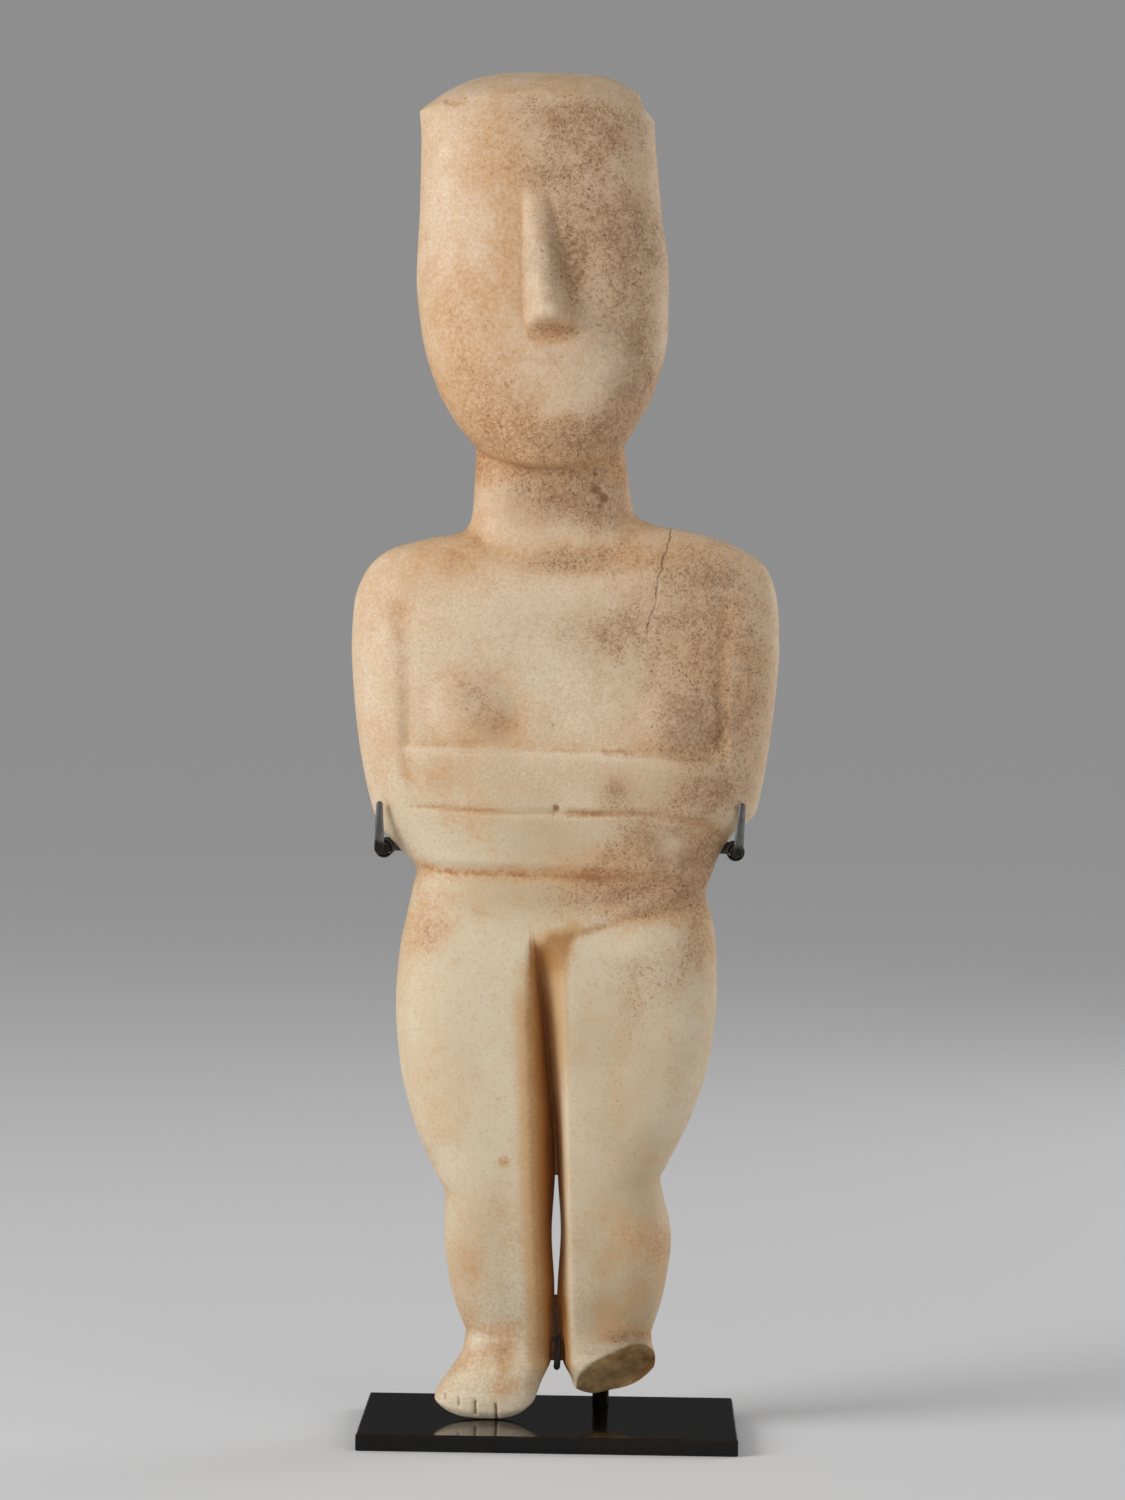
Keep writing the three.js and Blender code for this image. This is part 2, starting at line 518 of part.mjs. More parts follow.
// The post with a domed top, its three arms and their fingers, brazed into one piece.
function supportGeometry() {
  const { x, y, radius, socket, height, sides } = POST;
  const foot = PLATE.height - socket;
  const profile = [[0, foot], [radius, foot]];
  for (let k = 0; k <= 4; k++) {
    const angle = (k / 4) * (Math.PI / 2);
    profile.push([k < 4 ? radius * Math.cos(angle) : 0, height + radius * Math.sin(angle)]);
  }
  const pieces = [turned(profile, sides).translate(x, y, 0)];
  for (const hook of Object.values(ELBOW_HOOKS)) {
    pieces.push(bentBar(hook, ARM, hook.front - FINGER.thick / 2), finger(hook, FINGER));
  }
  const lowEnd = LOW_HOOK.front - LOW_FINGER.thick / 2;
  pieces.push(bentBar(LOW_HOOK, LOW_ARM, lowEnd), finger(LOW_HOOK, LOW_FINGER));
  return fromSolid(pieces.map(toSolid).reduce((all, piece) => all.add(piece)));
}

// A tube on an arm, behind the finger and under the elbow.
function sleeveGeometry({ x, z, front }) {
  const { inner, outer, length, sides } = SLEEVE;
  const profile = [[inner, 0], [outer, 0], [outer, length], [inner, length], [inner, 0]];
  const tube = new THREE.LatheGeometry(profile.map((p) => new THREE.Vector2(...p)), sides);
  return tube.translate(x, front + GAP, z);
}

function piece(name, geometry, color, roughness, metalness) {
  const mesh = new THREE.Mesh(geometry, new THREE.MeshStandardMaterial({ color, roughness, metalness }));
  mesh.name = name;
  return mesh;
}

const part = new THREE.Group();
part.add(
  piece("figurine", figureGeometry(), 0xdcc6a0, 0.55, 0),
  piece("base_plate", plateGeometry(), 0x161514, 0.18, 0),
  piece("support", supportGeometry(), 0x3a3b3b, 0.4, 0.6),
);
for (const [side, hook] of Object.entries(ELBOW_HOOKS)) {
  part.add(piece(`sleeve_${side}`, sleeveGeometry(hook), 0x0d0c0b, 0.8, 0));
}

export default part;
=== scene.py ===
import math
import bmesh
import bpy
import numpy as np
from mathutils import Matrix, Vector


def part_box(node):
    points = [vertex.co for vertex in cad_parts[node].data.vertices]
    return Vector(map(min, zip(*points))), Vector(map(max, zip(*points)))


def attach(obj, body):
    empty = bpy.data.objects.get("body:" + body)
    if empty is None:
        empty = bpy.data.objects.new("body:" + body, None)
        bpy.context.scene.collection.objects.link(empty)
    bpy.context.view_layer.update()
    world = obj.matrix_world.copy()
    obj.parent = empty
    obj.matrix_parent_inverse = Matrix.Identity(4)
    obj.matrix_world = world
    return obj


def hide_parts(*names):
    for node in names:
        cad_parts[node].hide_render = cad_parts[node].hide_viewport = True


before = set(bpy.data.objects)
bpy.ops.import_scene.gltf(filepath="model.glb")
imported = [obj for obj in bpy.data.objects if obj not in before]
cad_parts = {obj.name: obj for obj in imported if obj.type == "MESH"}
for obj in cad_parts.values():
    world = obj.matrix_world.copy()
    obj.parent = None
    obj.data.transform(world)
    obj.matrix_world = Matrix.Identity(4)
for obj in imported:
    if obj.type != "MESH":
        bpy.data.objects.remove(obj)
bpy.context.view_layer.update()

# The marble figure on its display stand. Sizes are millimetres in the CAD's own frame unless a
# name says otherwise: +Z is up and the figure faces -Y. MM turns them into Blender's metres.
MM = 0.001

# The figure's sections from the crown down, as seen from the front: the left and right edges
# [x, z], how far the middle rises above them, and the depths (y) of the front, the edges and
# the back. Below the crown they are the CAD's own, drawn here with about twenty times as many
# faces. The three of the crown follow its arch more closely.
SECTIONS = [
    ("crest", (-43.9, 397.2), (25.4, 396.4), 13.1, 18.5, 8, 20.5),
    ("crown", (-44.1, 396.7), (25.9, 395.8), 10.2, 5, 7.6, 20.8),
    ("crown edge", (-44.2, 396), (26.2, 394.9), 6, -5, 7, 21),
    ("forehead", (-43.5, 386), (26.9, 386), 2.5, -11.5, 5, 20.5),
    ("brow", (-43.6, 368), (28.7, 368), 0, -14.5, 3.5, 19),
    ("cheeks", (-44.3, 347), (31.3, 347), -1, -17, 2.5, 17.5),
    ("mouth", (-42.6, 330), (31.3, 331), -2, -18.5, 2, 16),
    ("jaw", (-37.6, 313), (27.9, 314), -4, -19, 1, 15),
    ("lower jaw", (-30.8, 301.3), (21.9, 302), -5.6, -18.2, 1, 14),
    ("chin", (-26.3, 295.9), (18.7, 296.3), -6.2, -15.8, 1.5, 13.5),
    ("throat", (-25.7, 294.2), (18.9, 294.8), -6.3, -10.8, 1.5, 13.3),
    ("neck", (-26.1, 283.5), (20.4, 284), -5.5, -11, 1.5, 13.3),
    ("low neck", (-26.6, 275.6), (21.9, 276.8), -6, -11.6, 1.5, 14),
    ("neck foot", (-29.2, 270.3), (26.6, 273.4), -8, -12.6, 1.5, 15),
    ("shoulder top", (-40.5, 267.9), (40, 270.8), -8, -13.3, 1.5, 15.8),
    ("shoulder", (-51.5, 264.4), (53.4, 266.4), -6.5, -13.8, 1, 16.3),
    ("upper arm", (-58.5, 257.6), (61.9, 260.2), -3.5, -14.4, 1, 16.9),
    ("armpit", (-61.7, 248), (65.3, 249), -1.5, -15, 1, 17.3),
    ("chest", (-62.3, 236), (66, 237), 0, -15.3, 1, 17.3),
    ("breasts", (-61.2, 219), (64.8, 220), 0, -15.4, 1, 16.6),
    ("forearms", (-59.4, 205), (63, 205), 0, -15.4, 1, 16),
    ("low forearm", (-56.8, 192.3), (61, 193), 0, -15.2, 1, 15.6),
    ("elbow", (-54.2, 184), (59.4, 186.8), 0, -14.8, 1, 15.2),
    ("elbow foot", (-50.2, 178.3), (52.6, 180.4), 0, -14.4, 1, 15),
    ("flank", (-45.4, 173.2), (48.9, 174.6), -1, -14.2, 1, 15),
    ("waist", (-42.1, 168.6), (46.4, 168), -1, -14.2, 1, 15.4),
    ("hip fold", (-43.1, 163), (44.9, 162.4), 0, -15, 1, 16.2),
    ("hips", (-44.6, 155.4), (47, 155), 0, -15.6, 0.5, 17.4),
    ("crotch", (-46.6, 145), (48.3, 145.5), 0, -16, 0.5, 17.6),
    ("thighs", (-47.6, 129), (48.7, 132), 0, -16.8, 0, 16.6),
    ("low thighs", (-46.2, 112), (46.9, 114.5), 0, -17.2, -0.5, 14.5),
    ("above knees", (-42, 94.5), (41.6, 96.5), 0, -16.8, -1.5, 12),
    ("knees", (-35.2, 78.6), (34.4, 81.3), 0, -15.7, -1.2, 11.4),
    ("below knees", (-31.9, 70.5), (32.5, 76.6), 0, -14.8, -0.4, 12),
    ("calves", (-32.2, 58.5), (36, 59), 0, -12.2, 1.5, 14.2),
    ("low calves", (-29.8, 42), (34, 42.5), 0, -8.2, 3.5, 14.6),
    ("ankles", (-25.4, 30), (30.4, 30), 0, -4.4, 4.5, 13.6),
]
ANKLES = len(SECTIONS) - 1
THROAT = [part for part, *_ in SECTIONS].index("throat")
SECTION_VALUES = {
    name: np.array([row[k] if n is None else row[k][n] for row in SECTIONS], float)
    for name, k, n in [
        ("left x", 1, 0), ("left z", 1, 1), ("right x", 2, 0), ("right z", 2, 1),
        ("rise", 3, None), ("front", 4, None), ("rim", 5, None), ("back", 6, None),
    ]
}

# Below the ankles each leg has its own sections: the outer and inner edges [x, z], how far the
# middle dips below them, the depths of the front, outer edge and back, and the front and back
# of the inner edge. The left foot is whole and hangs on its toes. The right one is broken off.
FEET = {
    "left": [
        (-26.4, 24.2, 0.4, 24.5, 0, -5, 5, 13.8, 2, 7.5),
        (-29.4, 19, 0.3, 21.3, 0, -6.6, 3.5, 14.2, 2.5, 9),
        (-32.3, 15.3, -2.3, 15.6, 0.4, -8.4, 0.5, 9.5, 0, 7),
        (-34.1, 12.2, -3.7, 12, 1, -9.9, -2, 3, -3.2, 2.2),
        (-34.3, 10.6, -4.7, 10, 2.6, -10.2, -3.6, -2.4, -5, -2.2),
        (-33.9, 9.9, -5.4, 9.2, 4.25, -9, -4.8, -6.2, -5.8, -4.4),
    ],
    "right": [
        (30.8, 26.5, 3.8, 24.5, 0, -4.4, 5, 13.6, 2, 7.5),
        (31.6, 23.6, 4, 21.3, 0, -4.8, 5, 13.8, 2.5, 9),
        (31.8, 21.8, 6, 17.4, 1, -5, 5.4, 13, 1.5, 8.5),
        (31.7, 20.6, 6.8, 15.6, 2.4, -5, 6, 11.6, 1, 7.8),
        (31.6, 19.8, 7.1, 14.6, 3.7, -5, 6.4, 10.4, 0.6, 7),
        (31.4, 19.2, 7.4, 13.9, 4.7, -5, 6.6, 9.4, 0.3, 6.2),
    ],
}
WEB_END = 2  # sections of the feet that the web between the legs still joins
CHIP = [(393.6, 26.8), (397.3, 23.4), (402.5, 21.8)]  # z and x of the crown's lost corner
BREAK = {"x": 15, "y": -4.5, "z": 22.6, "back_per_drop": 0.95, "back_per_x": 0.6}  # its plane

# Lines down the legs, as (z, value): the edges of the web that joins the legs, and its depths.
WEB_LEFT = [
    (22, 0.4), (41, 1.1), (60, 0.05), (78, 0.8), (88, 0.6), (110, -1.5), (127, -3.3), (139, -5.1),
    (152, -6.4),
]
WEB_RIGHT = [
    (22, 3.9), (41, 2), (60, 2.8), (78, 1.7), (88, 1.1), (110, -1.2), (127, -3), (139, -4.8),
    (152, -6.1),
]
WEB_FRONT = [(20, 2.5), (80, -0.5), (112, -3.5), (134, -7), (144, -10.5), (151, -15.5)]
WEB_BACK = [(20, 9), (40, 6.5), (110, 6), (140, 9), (165, 15.5)]
ARRIS_LEFT = [(16, -1.8), (42, -3.1), (72, -4.7), (102, -6), (143, -7.5), (152, -7.5)]
ARRIS_RIGHT = [(16, 7.7), (42, 6.2), (72, 4.8), (102, 3.8), (143, 2.4), (148, 3.5), (152, 7)]
ARRIS_ROUND = {"left": 1.3, "right": 0.8}  # how rounded the legs' inner edges are
CLEFT_TOP = 152.5  # where the groove between the thighs starts on the front
CLEFT_FADE = 10  # how slowly it deepens
SLIT = {"top": 77.4, "bottom": 41}  # the opening through the web between the calves

# Carving on the front, with lines as (x, z).
NOSE = {
    "top": (-8.9, 372), "tip": (-4.1, 333.5), "height": 7.8,
    "top_width": 3.9, "tip_width": 7.1, "under": 4.4,
}
BREASTS = {"left": (-26, 217), "right": (36.5, 215), "radius": 13.5, "height": 2.1}
FOREARM = {"height": 1.4, "edge": 1.8, "bottom_edge": 3.2, "divider": 0.8, "divider_width": 0.9}
ARM_INSIDE = {"left": -43.5, "right": 47.5, "edge": 4.5, "shoulder": 252, "fade": 22}
FOREARM_TOP = [(-43, 206.6), (0, 205.5), (20, 204.8), (46, 203)]
FOREARM_MIDDLE = [(-43, 188.4), (-10, 186.6), (25, 186.8), (42, 184.6), (50, 181)]
FOREARM_BOTTOM = [(-45, 171.6), (-34, 169.6), (0, 168.9), (20, 168.3), (46, 166)]
PUBIC_RIGHT = [(5.7, 149.4), (19, 154.2), (31, 158), (43.5, 163.4)]
GROOVES = [  # line, depth, width
    ([(-46.6, 247), (-47.2, 233), (-45.6, 206), (-42.3, 190)], 0.65, 2.8),
    ([(49.6, 250), (50, 237), (49, 219), (47.8, 207)], 0.65, 2.8),
    ([(-40, 166), (-26, 158.6), (-5, 151)], 0.22, 1.8),
    (PUBIC_RIGHT, 0.25, 1.8),
    ([(-27, 271), (-20, 264), (-8, 260.5), (6, 260.5), (17, 265), (24, 272)], 0.3, 2.4),
]
BELLY_HEIGHT = 0.65
# Brown lines, partly patina in the grooves and partly painted shadow under the forearms' edges and in the
# arms' grooves
STAIN_AND_SHADOW_LINES = [  # line, width, strength
    ([(-42, 206.6), (-16, 205.8)], 0.7, 0.35),
    ([(-16, 205.8), (14, 204.7)], 0.5, 0.15),
    ([(14, 205), (24, 204.5), (44, 203)], 0.9, 1.0),
    ([(-43, 188.4), (-18, 187.2)], 0.6, 0.3),
    (FOREARM_MIDDLE[:4], 0.5, 0.14),
    ([(4, 186.8), (25, 187), (42, 184.8)], 1.1, 0.85),
    ([(42, 184.8), (50, 180), (52, 175)], 1.1, 1.0),
    ([(-45, 170.8), (-34, 168.9), (0, 168.2), (20, 167.6), (46, 165.4)], 1.1, 0.9),
    ([(8, 167.8), (24, 166.8), (44, 166.2)], 1.8, 0.5),
    ([(-47.6, 240), (-47.6, 230), (-46.4, 206), (-44.3, 194)], 2.2, 0.24),
    ([(48.8, 246), (49.6, 237), (48.8, 219), (47.8, 207)], 2.2, 0.3),
    ([(-44, 165), (-26, 158.6), (-12, 153)], 1.1, 0.16),
    ([(8, 151.2), (19, 155.2), (31, 159), (43, 164)], 1.2, 0.6),
]

# Finer marks than the CAD has, also as line, depth and width.
FINGER_LINES = [([(-37.5, z), (-24.5, z + 0.2)], 0.3, 0.55) for z in (201.8, 199.3, 196.9, 194.6)]
TOE_LINES = [
    ([(-15.7, 9.8), (-15.5, 5.2)], 0.8, 0.45),
    ([(-21.8, 10.6), (-21.9, 7)], 0.75, 0.42),
    ([(-26.8, 11.6), (-26.9, 9.2)], 0.6, 0.35),
    ([(-31, 12.2), (-30.9, 10.8)], 0.5, 0.3),
]
CRACK = [
    (33.2, 273), (32.4, 268), (30.7, 262.8), (30.4, 259.5), (29.3, 256.9), (28.6, 250), (26.8, 245),
    (26.2, 241.4),
]
ARM_RIDGE = ([(45.5, 223), (46.6, 214), (46.8, 208)], -0.45, 1.0)
PITS = [  # x, z, radius, depth
    (0, 188.3, 1.1, 0.6), (-0.9, 186.4, 0.6, 0.4), (-1.5, 212.6, 0.7, 0.5), (10.4, 283, 1.8, 0.5),
    (12.9, 280.5, 1.5, 0.6), (11.6, 277.8, 1.2, 0.4), (-36.1, 398.4, 1.3, 0.3),
    (-30.1, 399.2, 1.0, 0.3), (57.5, 240.5, 1.1, 0.3), (22.5, 36.6, 0.5, 0.3), (-13.5, 174, 0.5, 0.3),
]
DENTS = [  # centre, radius and push of the lost chips of stone
    ((21.4, 10, 403.4), 4.5, (1.0, 0, 0.7)),
    ((-43.4, 0, 397.5), 3.0, (0.3, 0.4, -0.2)),
    ((64.5, 0, 240), 4.0, (-0.35, 0, 0)),
    ((-24.5, 3, 28), 3.0, (0.45, 0, 0)),
]

# Carving on the back. It runs between two heights, each with the length over which it fades.
SPINE = {"x": 1, "depth": 1.2, "width": 2.2, "foot": (165, 12), "top": (262, 20)}
ARM_BACKS = {"out": 47, "depth": 1.1, "width": 2, "foot": (178, 10), "top": (250, 14)}
BUTTOCK_FOLD = {"z": 149, "drop": 3.5, "middle": 21, "depth": 1.2, "width": 3, "end": 40, "fade": 14}

# Uneven surfaces, as height, size of the lumps and seed of the noise
RELIEF = [(0.22, 17, 1), (0.10, 6, 2), (0.035, 2.2, 3)]
ROUGH_BREAK = [(0.55, 4.5, 4), (0.4, 1.9, 5)]
FAR = 99  # a place past the figure's sides

# Mesh density
LEG_COLUMNS = 75
WEB_COLUMNS = 6
COLUMNS = 2 * LEG_COLUMNS + WEB_COLUMNS
RIGHT_LEG = LEG_COLUMNS + WEB_COLUMNS
BACK_STEP = 3
BODY_ROWS = 400
FOOT_ROWS = 5


def mix(a, b, w):
    return a + (b - a) * w


def smooth(w):
    t = np.clip(w, 0, 1)
    return t * t * (3 - 2 * t)


def through(values, t):
    """A smooth curve through values at 0, 1, 2 and so on that doesn't overshoot them."""
    values = np.asarray(values, float)
    rise = np.diff(values)
    before, after = rise[:-1], rise[1:]
    level = before * after <= 0
    total = np.where(level, 1, before + after)
    slope = np.concatenate([rise[:1], np.where(level, 0, 2 * before * after / total), rise[-1:]])
    k = np.clip(np.floor(t).astype(int), 0, len(values) - 2)
    w = t - k
    ends = (2 * w**3 - 3 * w**2 + 1) * values[k] + (3 * w**2 - 2 * w**3) * values[k + 1]
    return ends + (w**3 - 2 * w**2 + w) * slope[k] + (w**3 - w**2) * slope[k + 1]


def along(line, place):
    """The value at a place on a line of (place, value) pairs in rising order."""
    places, values = np.array(line, float).T
    return through(values, np.interp(place, places, np.arange(len(places))))


def distance_to(line, x, z):
    nearest = np.full(np.shape(x), np.inf)
    for (ax, az), (bx, bz) in zip(line, line[1:]):
        dx, dz = bx - ax, bz - az
        w = np.clip(((x - ax) * dx + (z - az) * dz) / (dx * dx + dz * dz), 0, 1)
        nearest = np.minimum(nearest, np.hypot(x - ax - w * dx, z - az - w * dz))
    return nearest


def bell(distance, width):
    return np.exp(-((distance / width) ** 2))


def swell(u, power):
    """1 in the middle of a section and 0 at its edges, flatter in the middle for a larger power."""
    return np.sqrt(np.clip(1 - np.abs(u) ** power, 0, None))


def section(name, t):
    return through(SECTION_VALUES[name], t)


def noise(points, size, seed):
    """Smooth noise from -1 to 1 at points [..., 3], with lumps about as large as size."""
    cells = 32
    table = np.random.default_rng(seed).uniform(-1, 1, (cells, cells, cells))
    place = points / size
    low = np.floor(place).astype(int)
    w = smooth(place - low)
    total = np.zeros(points.shape[:-1])
    for corner in np.ndindex(2, 2, 2):
        index = tuple(np.moveaxis((low + corner) % cells, -1, 0))
        total += table[index] * np.prod(np.where(corner, w, 1 - w), axis=-1)
    return total


def uneven(points, layers):
    return sum(height * noise(points, size, seed) for height, size, seed in layers)


# The carving
def nose(x, z):
    down = (NOSE["top"][1] - z) / (NOSE["top"][1] - NOSE["tip"][1])
    w = np.clip(down, 0, 1)
    middle = mix(NOSE["top"][0], NOSE["tip"][0], w)
    side = np.abs(x - middle) / mix(NOSE["top_width"], NOSE["tip_width"], w)
    under = smooth((z - NOSE["tip"][1] + NOSE["under"]) / NOSE["under"])
    return NOSE["height"] * w**0.9 * under * np.clip(1 - side**2.6, 0, None) ** 1.1


def breasts(x, z):
    above = smooth((z - along(FOREARM_TOP, x)) / 3)
    total = 0
    for cx, cz in (BREASTS["left"], BREASTS["right"]):
        near = np.hypot(x - cx, z - cz) / BREASTS["radius"]
        total = total + np.clip(1 - near**2, 0, None) ** 1.3
    return BREASTS["height"] * total * above


def forearms(x, z):
    """Two raised bands, one above the other, as high as the upper arms that they run on from."""
    top, middle, bottom = (along(line, x) for line in (FOREARM_TOP, FOREARM_MIDDLE, FOREARM_BOTTOM))
    outside = np.maximum(ARM_INSIDE["left"] - x, x - ARM_INSIDE["right"])
    arm = smooth(outside / ARM_INSIDE["edge"]) * smooth((ARM_INSIDE["shoulder"] - z) / ARM_INSIDE["fade"])
    raised = np.maximum(smooth((top - z) / FOREARM["edge"]), arm)
    raised = raised * smooth((z - bottom) / FOREARM["bottom_edge"])
    line_ends = smooth((x + 46) / 8) * smooth((56 - x) / 10)
    divider = FOREARM["divider"] * line_ends * bell(z - middle, FOREARM["divider_width"])
    return FOREARM["height"] * raised - divider - 0.2 * line_ends * smooth((middle - z) / 2)


def belly(x, z):
    """The belly stands a little proud of the right thigh."""
    above = z - along(PUBIC_RIGHT, x)
    reach = smooth(above / 3) * smooth((14 - above) / 12)
    return BELLY_HEIGHT * reach * smooth((x - 2) / 8) * smooth((47 - x) / 8)


def grooves(marks, x, z):
    return sum(depth * bell(distance_to(line, x, z), width) for line, depth, width in marks)


def pits(x, z):
    return sum(depth * bell(np.hypot(x - px, z - pz), radius) for px, pz, radius, depth in PITS)


def front_carving(x, z):
    return nose(x, z) + breasts(x, z) + forearms(x, z) + belly(x, z) - grooves(GROOVES, x, z)


def front_marks(x, z):
    """The finer marks, as heights."""
    crack = [(CRACK, 0.15, 0.8)]
    cuts = grooves(FINGER_LINES + TOE_LINES + crack + [ARM_RIDGE], x, z)
    return -(cuts + pits(x, z))


def between(z, groove):
    (foot, foot_fade), (top, top_fade) = groove["foot"], groove["top"]
    return groove["depth"] * smooth((z - foot) / foot_fade) * smooth((top - z) / top_fade)


def back_carving(x, z):
    """The spine, the insides of the arms and the fold under the buttocks."""
    side = np.abs(x - SPINE["x"])
    spine = between(z, SPINE) * bell(side, SPINE["width"])
    arms = between(z, ARM_BACKS) * bell(side - ARM_BACKS["out"], ARM_BACKS["width"])
    middle, end = BUTTOCK_FOLD["middle"], BUTTOCK_FOLD["end"]
    fold_height = BUTTOCK_FOLD["z"] - BUTTOCK_FOLD["drop"] * np.cos((side - middle) / middle * (np.pi / 2))
    fold = BUTTOCK_FOLD["depth"] * smooth((end - side) / BUTTOCK_FOLD["fade"])
    fold = fold * bell(z - fold_height, BUTTOCK_FOLD["width"])
    return -(spine + arms + fold)


# The figure's grid of points
def leg_shape(x, z, outer_left, web_left, web_right, outer_right):
    """How full a leg is at x, and how far its inner side has turned in to the web."""
    on_left = x < web_left
    outer = np.where(on_left, outer_left, outer_right)
    inner = np.where(on_left, web_left, web_right)
    u = 2 * (x - outer) / (inner - outer) - 1
    on_web = (x >= web_left) & (x <= web_right)
    full = np.where((u < 0) & ~on_web, swell(u, 2.3), 1)
    left, right = along(ARRIS_LEFT, z), along(ARRIS_RIGHT, z)
    past_left = turned_in(x - left, web_left - left, ARRIS_ROUND["left"])
    past_right = turned_in(right - x, right - web_right, ARRIS_ROUND["right"])
    roll = np.where(on_web, 1, np.where(on_left, past_left, past_right))
    return full, roll


def turned_in(past, width, rounding):
    """0 before a leg's inner edge and 1 at the web, with a flat side between and a rounded edge."""
    bend = np.clip((past + rounding) / (2 * rounding), 0, 1)
    return np.clip(np.where(past > rounding, past, rounding * bend**2) / width, 0, 1)


def leg_column(i, outer_left, web_left, web_right, outer_right):
    """Columns of the legs: close together at the edges of each leg and even across the web."""
    left = mix(outer_left, web_left, (1 - np.cos(np.pi * np.clip(i / LEG_COLUMNS, 0, 1))) / 2)
    turn = np.clip((i - RIGHT_LEG) / LEG_COLUMNS, 0, 1)
    right = mix(web_right, outer_right, (1 - np.cos(np.pi * turn)) / 2)
    web = mix(web_left, web_right, (i - LEG_COLUMNS) / WEB_COLUMNS)
    return np.where(i <= LEG_COLUMNS, left, np.where(i >= RIGHT_LEG, right, web))


def body_grid(t):
    """Rows above the ankles at t, which counts the sections from the crown down."""
    t = t[:, None]
    i = np.arange(COLUMNS + 1)[None, :]
    left_x, left_z, right_x, right_z, rise, front, rim, back = (section(name, t) for name in SECTION_VALUES)
    height = (left_z + right_z) / 2
    web = along(WEB_LEFT, height), along(WEB_RIGHT, height)
    split = smooth((200 - height) / 45)
    trunk_power = mix(2.3, 2.7, smooth((t - THROAT + 0.5) / 1))
    even = 2 * i / COLUMNS - 1
    rounded = mix(even, np.sin(even * np.pi / 2), 0.5)
    trunk_x = mix(left_x, right_x, (rounded + 1) / 2)
    x = mix(trunk_x, leg_column(i, left_x, *web, right_x), split)
    u = 2 * (x - left_x) / (right_x - left_x) - 1
    below_crest = smooth((t - 0.9) / 1.9)
    arch = np.where(u < 0, mix(2.7, 2.2, below_crest), mix(4.8, 2.4, below_crest))
    z = mix(left_z, right_z, (u + 1) / 2) + rise * (1 - np.abs(u) ** arch)
    full, roll = leg_shape(x, z, left_x, *web, right_x)
    shape = mix(swell(u, trunk_power), full, smooth((182 - z) / 60))
    inside = 1 - np.abs(u) ** 8
    front_web = roll * smooth((CLEFT_TOP - z) / CLEFT_FADE)
    back_web = roll * smooth((168 - z) / 14)
    front_y = mix(rim + (front - rim) * shape, along(WEB_FRONT, z), front_web) - front_carving(x, z) * inside
    back_y = mix(rim + (back - rim) * shape, along(WEB_BACK, z), back_web) + back_carving(x, z) * inside
    grid = {"x": x, "z": z, "front": front_y, "back": back_y, "inside": inside}
    return {**grid, "cleft": cleft_stain_and_shade(x, z, *web), "broken": 0 * x}


def cleft_stain_and_shade(x, z, web_left, web_right):
    """Brown from the left leg's inner edge to the web, darker low in the web: partly patina in the groove
    and partly painted shade, which darkens the left leg's inner side and the deep web and leaves the lit
    side of the right leg lighter.
    """
    left, right = along(ARRIS_LEFT, z), along(ARRIS_RIGHT, z)
    uneven = 3 * noise(np.stack([x, 0 * x, z], axis=-1), 5, 21)
    beside = 0.44 * smooth((x - left + 9) / 9) ** 1.5 * smooth((154 - z + uneven) / 30)
    left_side = mix(0.44, 0.8, smooth((x - left) / 4.4))
    edge = mix(0.08, 0.26, smooth((z - 96) / 30)) + 0.3 * smooth((z - 134) / 12)
    right_side = mix(edge, 0.58, np.clip((right - x) / (right - web_right), 0, 1) ** 1.7)
    right_side = np.where(x > right, edge * smooth((right + 3.5 - x) / 3.5), right_side)
    inner = np.where(x < web_left, left_side, np.where(x < web_right, 1, right_side))
    stain_and_shade = np.where(x < left, beside, inner)
    low = 0.14 * smooth((104 - z) / 18) + 0.45 * smooth((46 - z) / 12)
    low = low * smooth((x - left) / 4) * smooth((right - x) / 3)
    return (stain_and_shade + low) * smooth((CLEFT_TOP + 3 - z + uneven) / 9) * smooth((z - 12) / 12)


def broken_face(x, z):
    """The broken face is a plane across the instep: no stone is left in front of it."""
    return BREAK["y"] + BREAK["back_per_drop"] * (BREAK["z"] - z) + BREAK["back_per_x"] * (x - BREAK["x"])


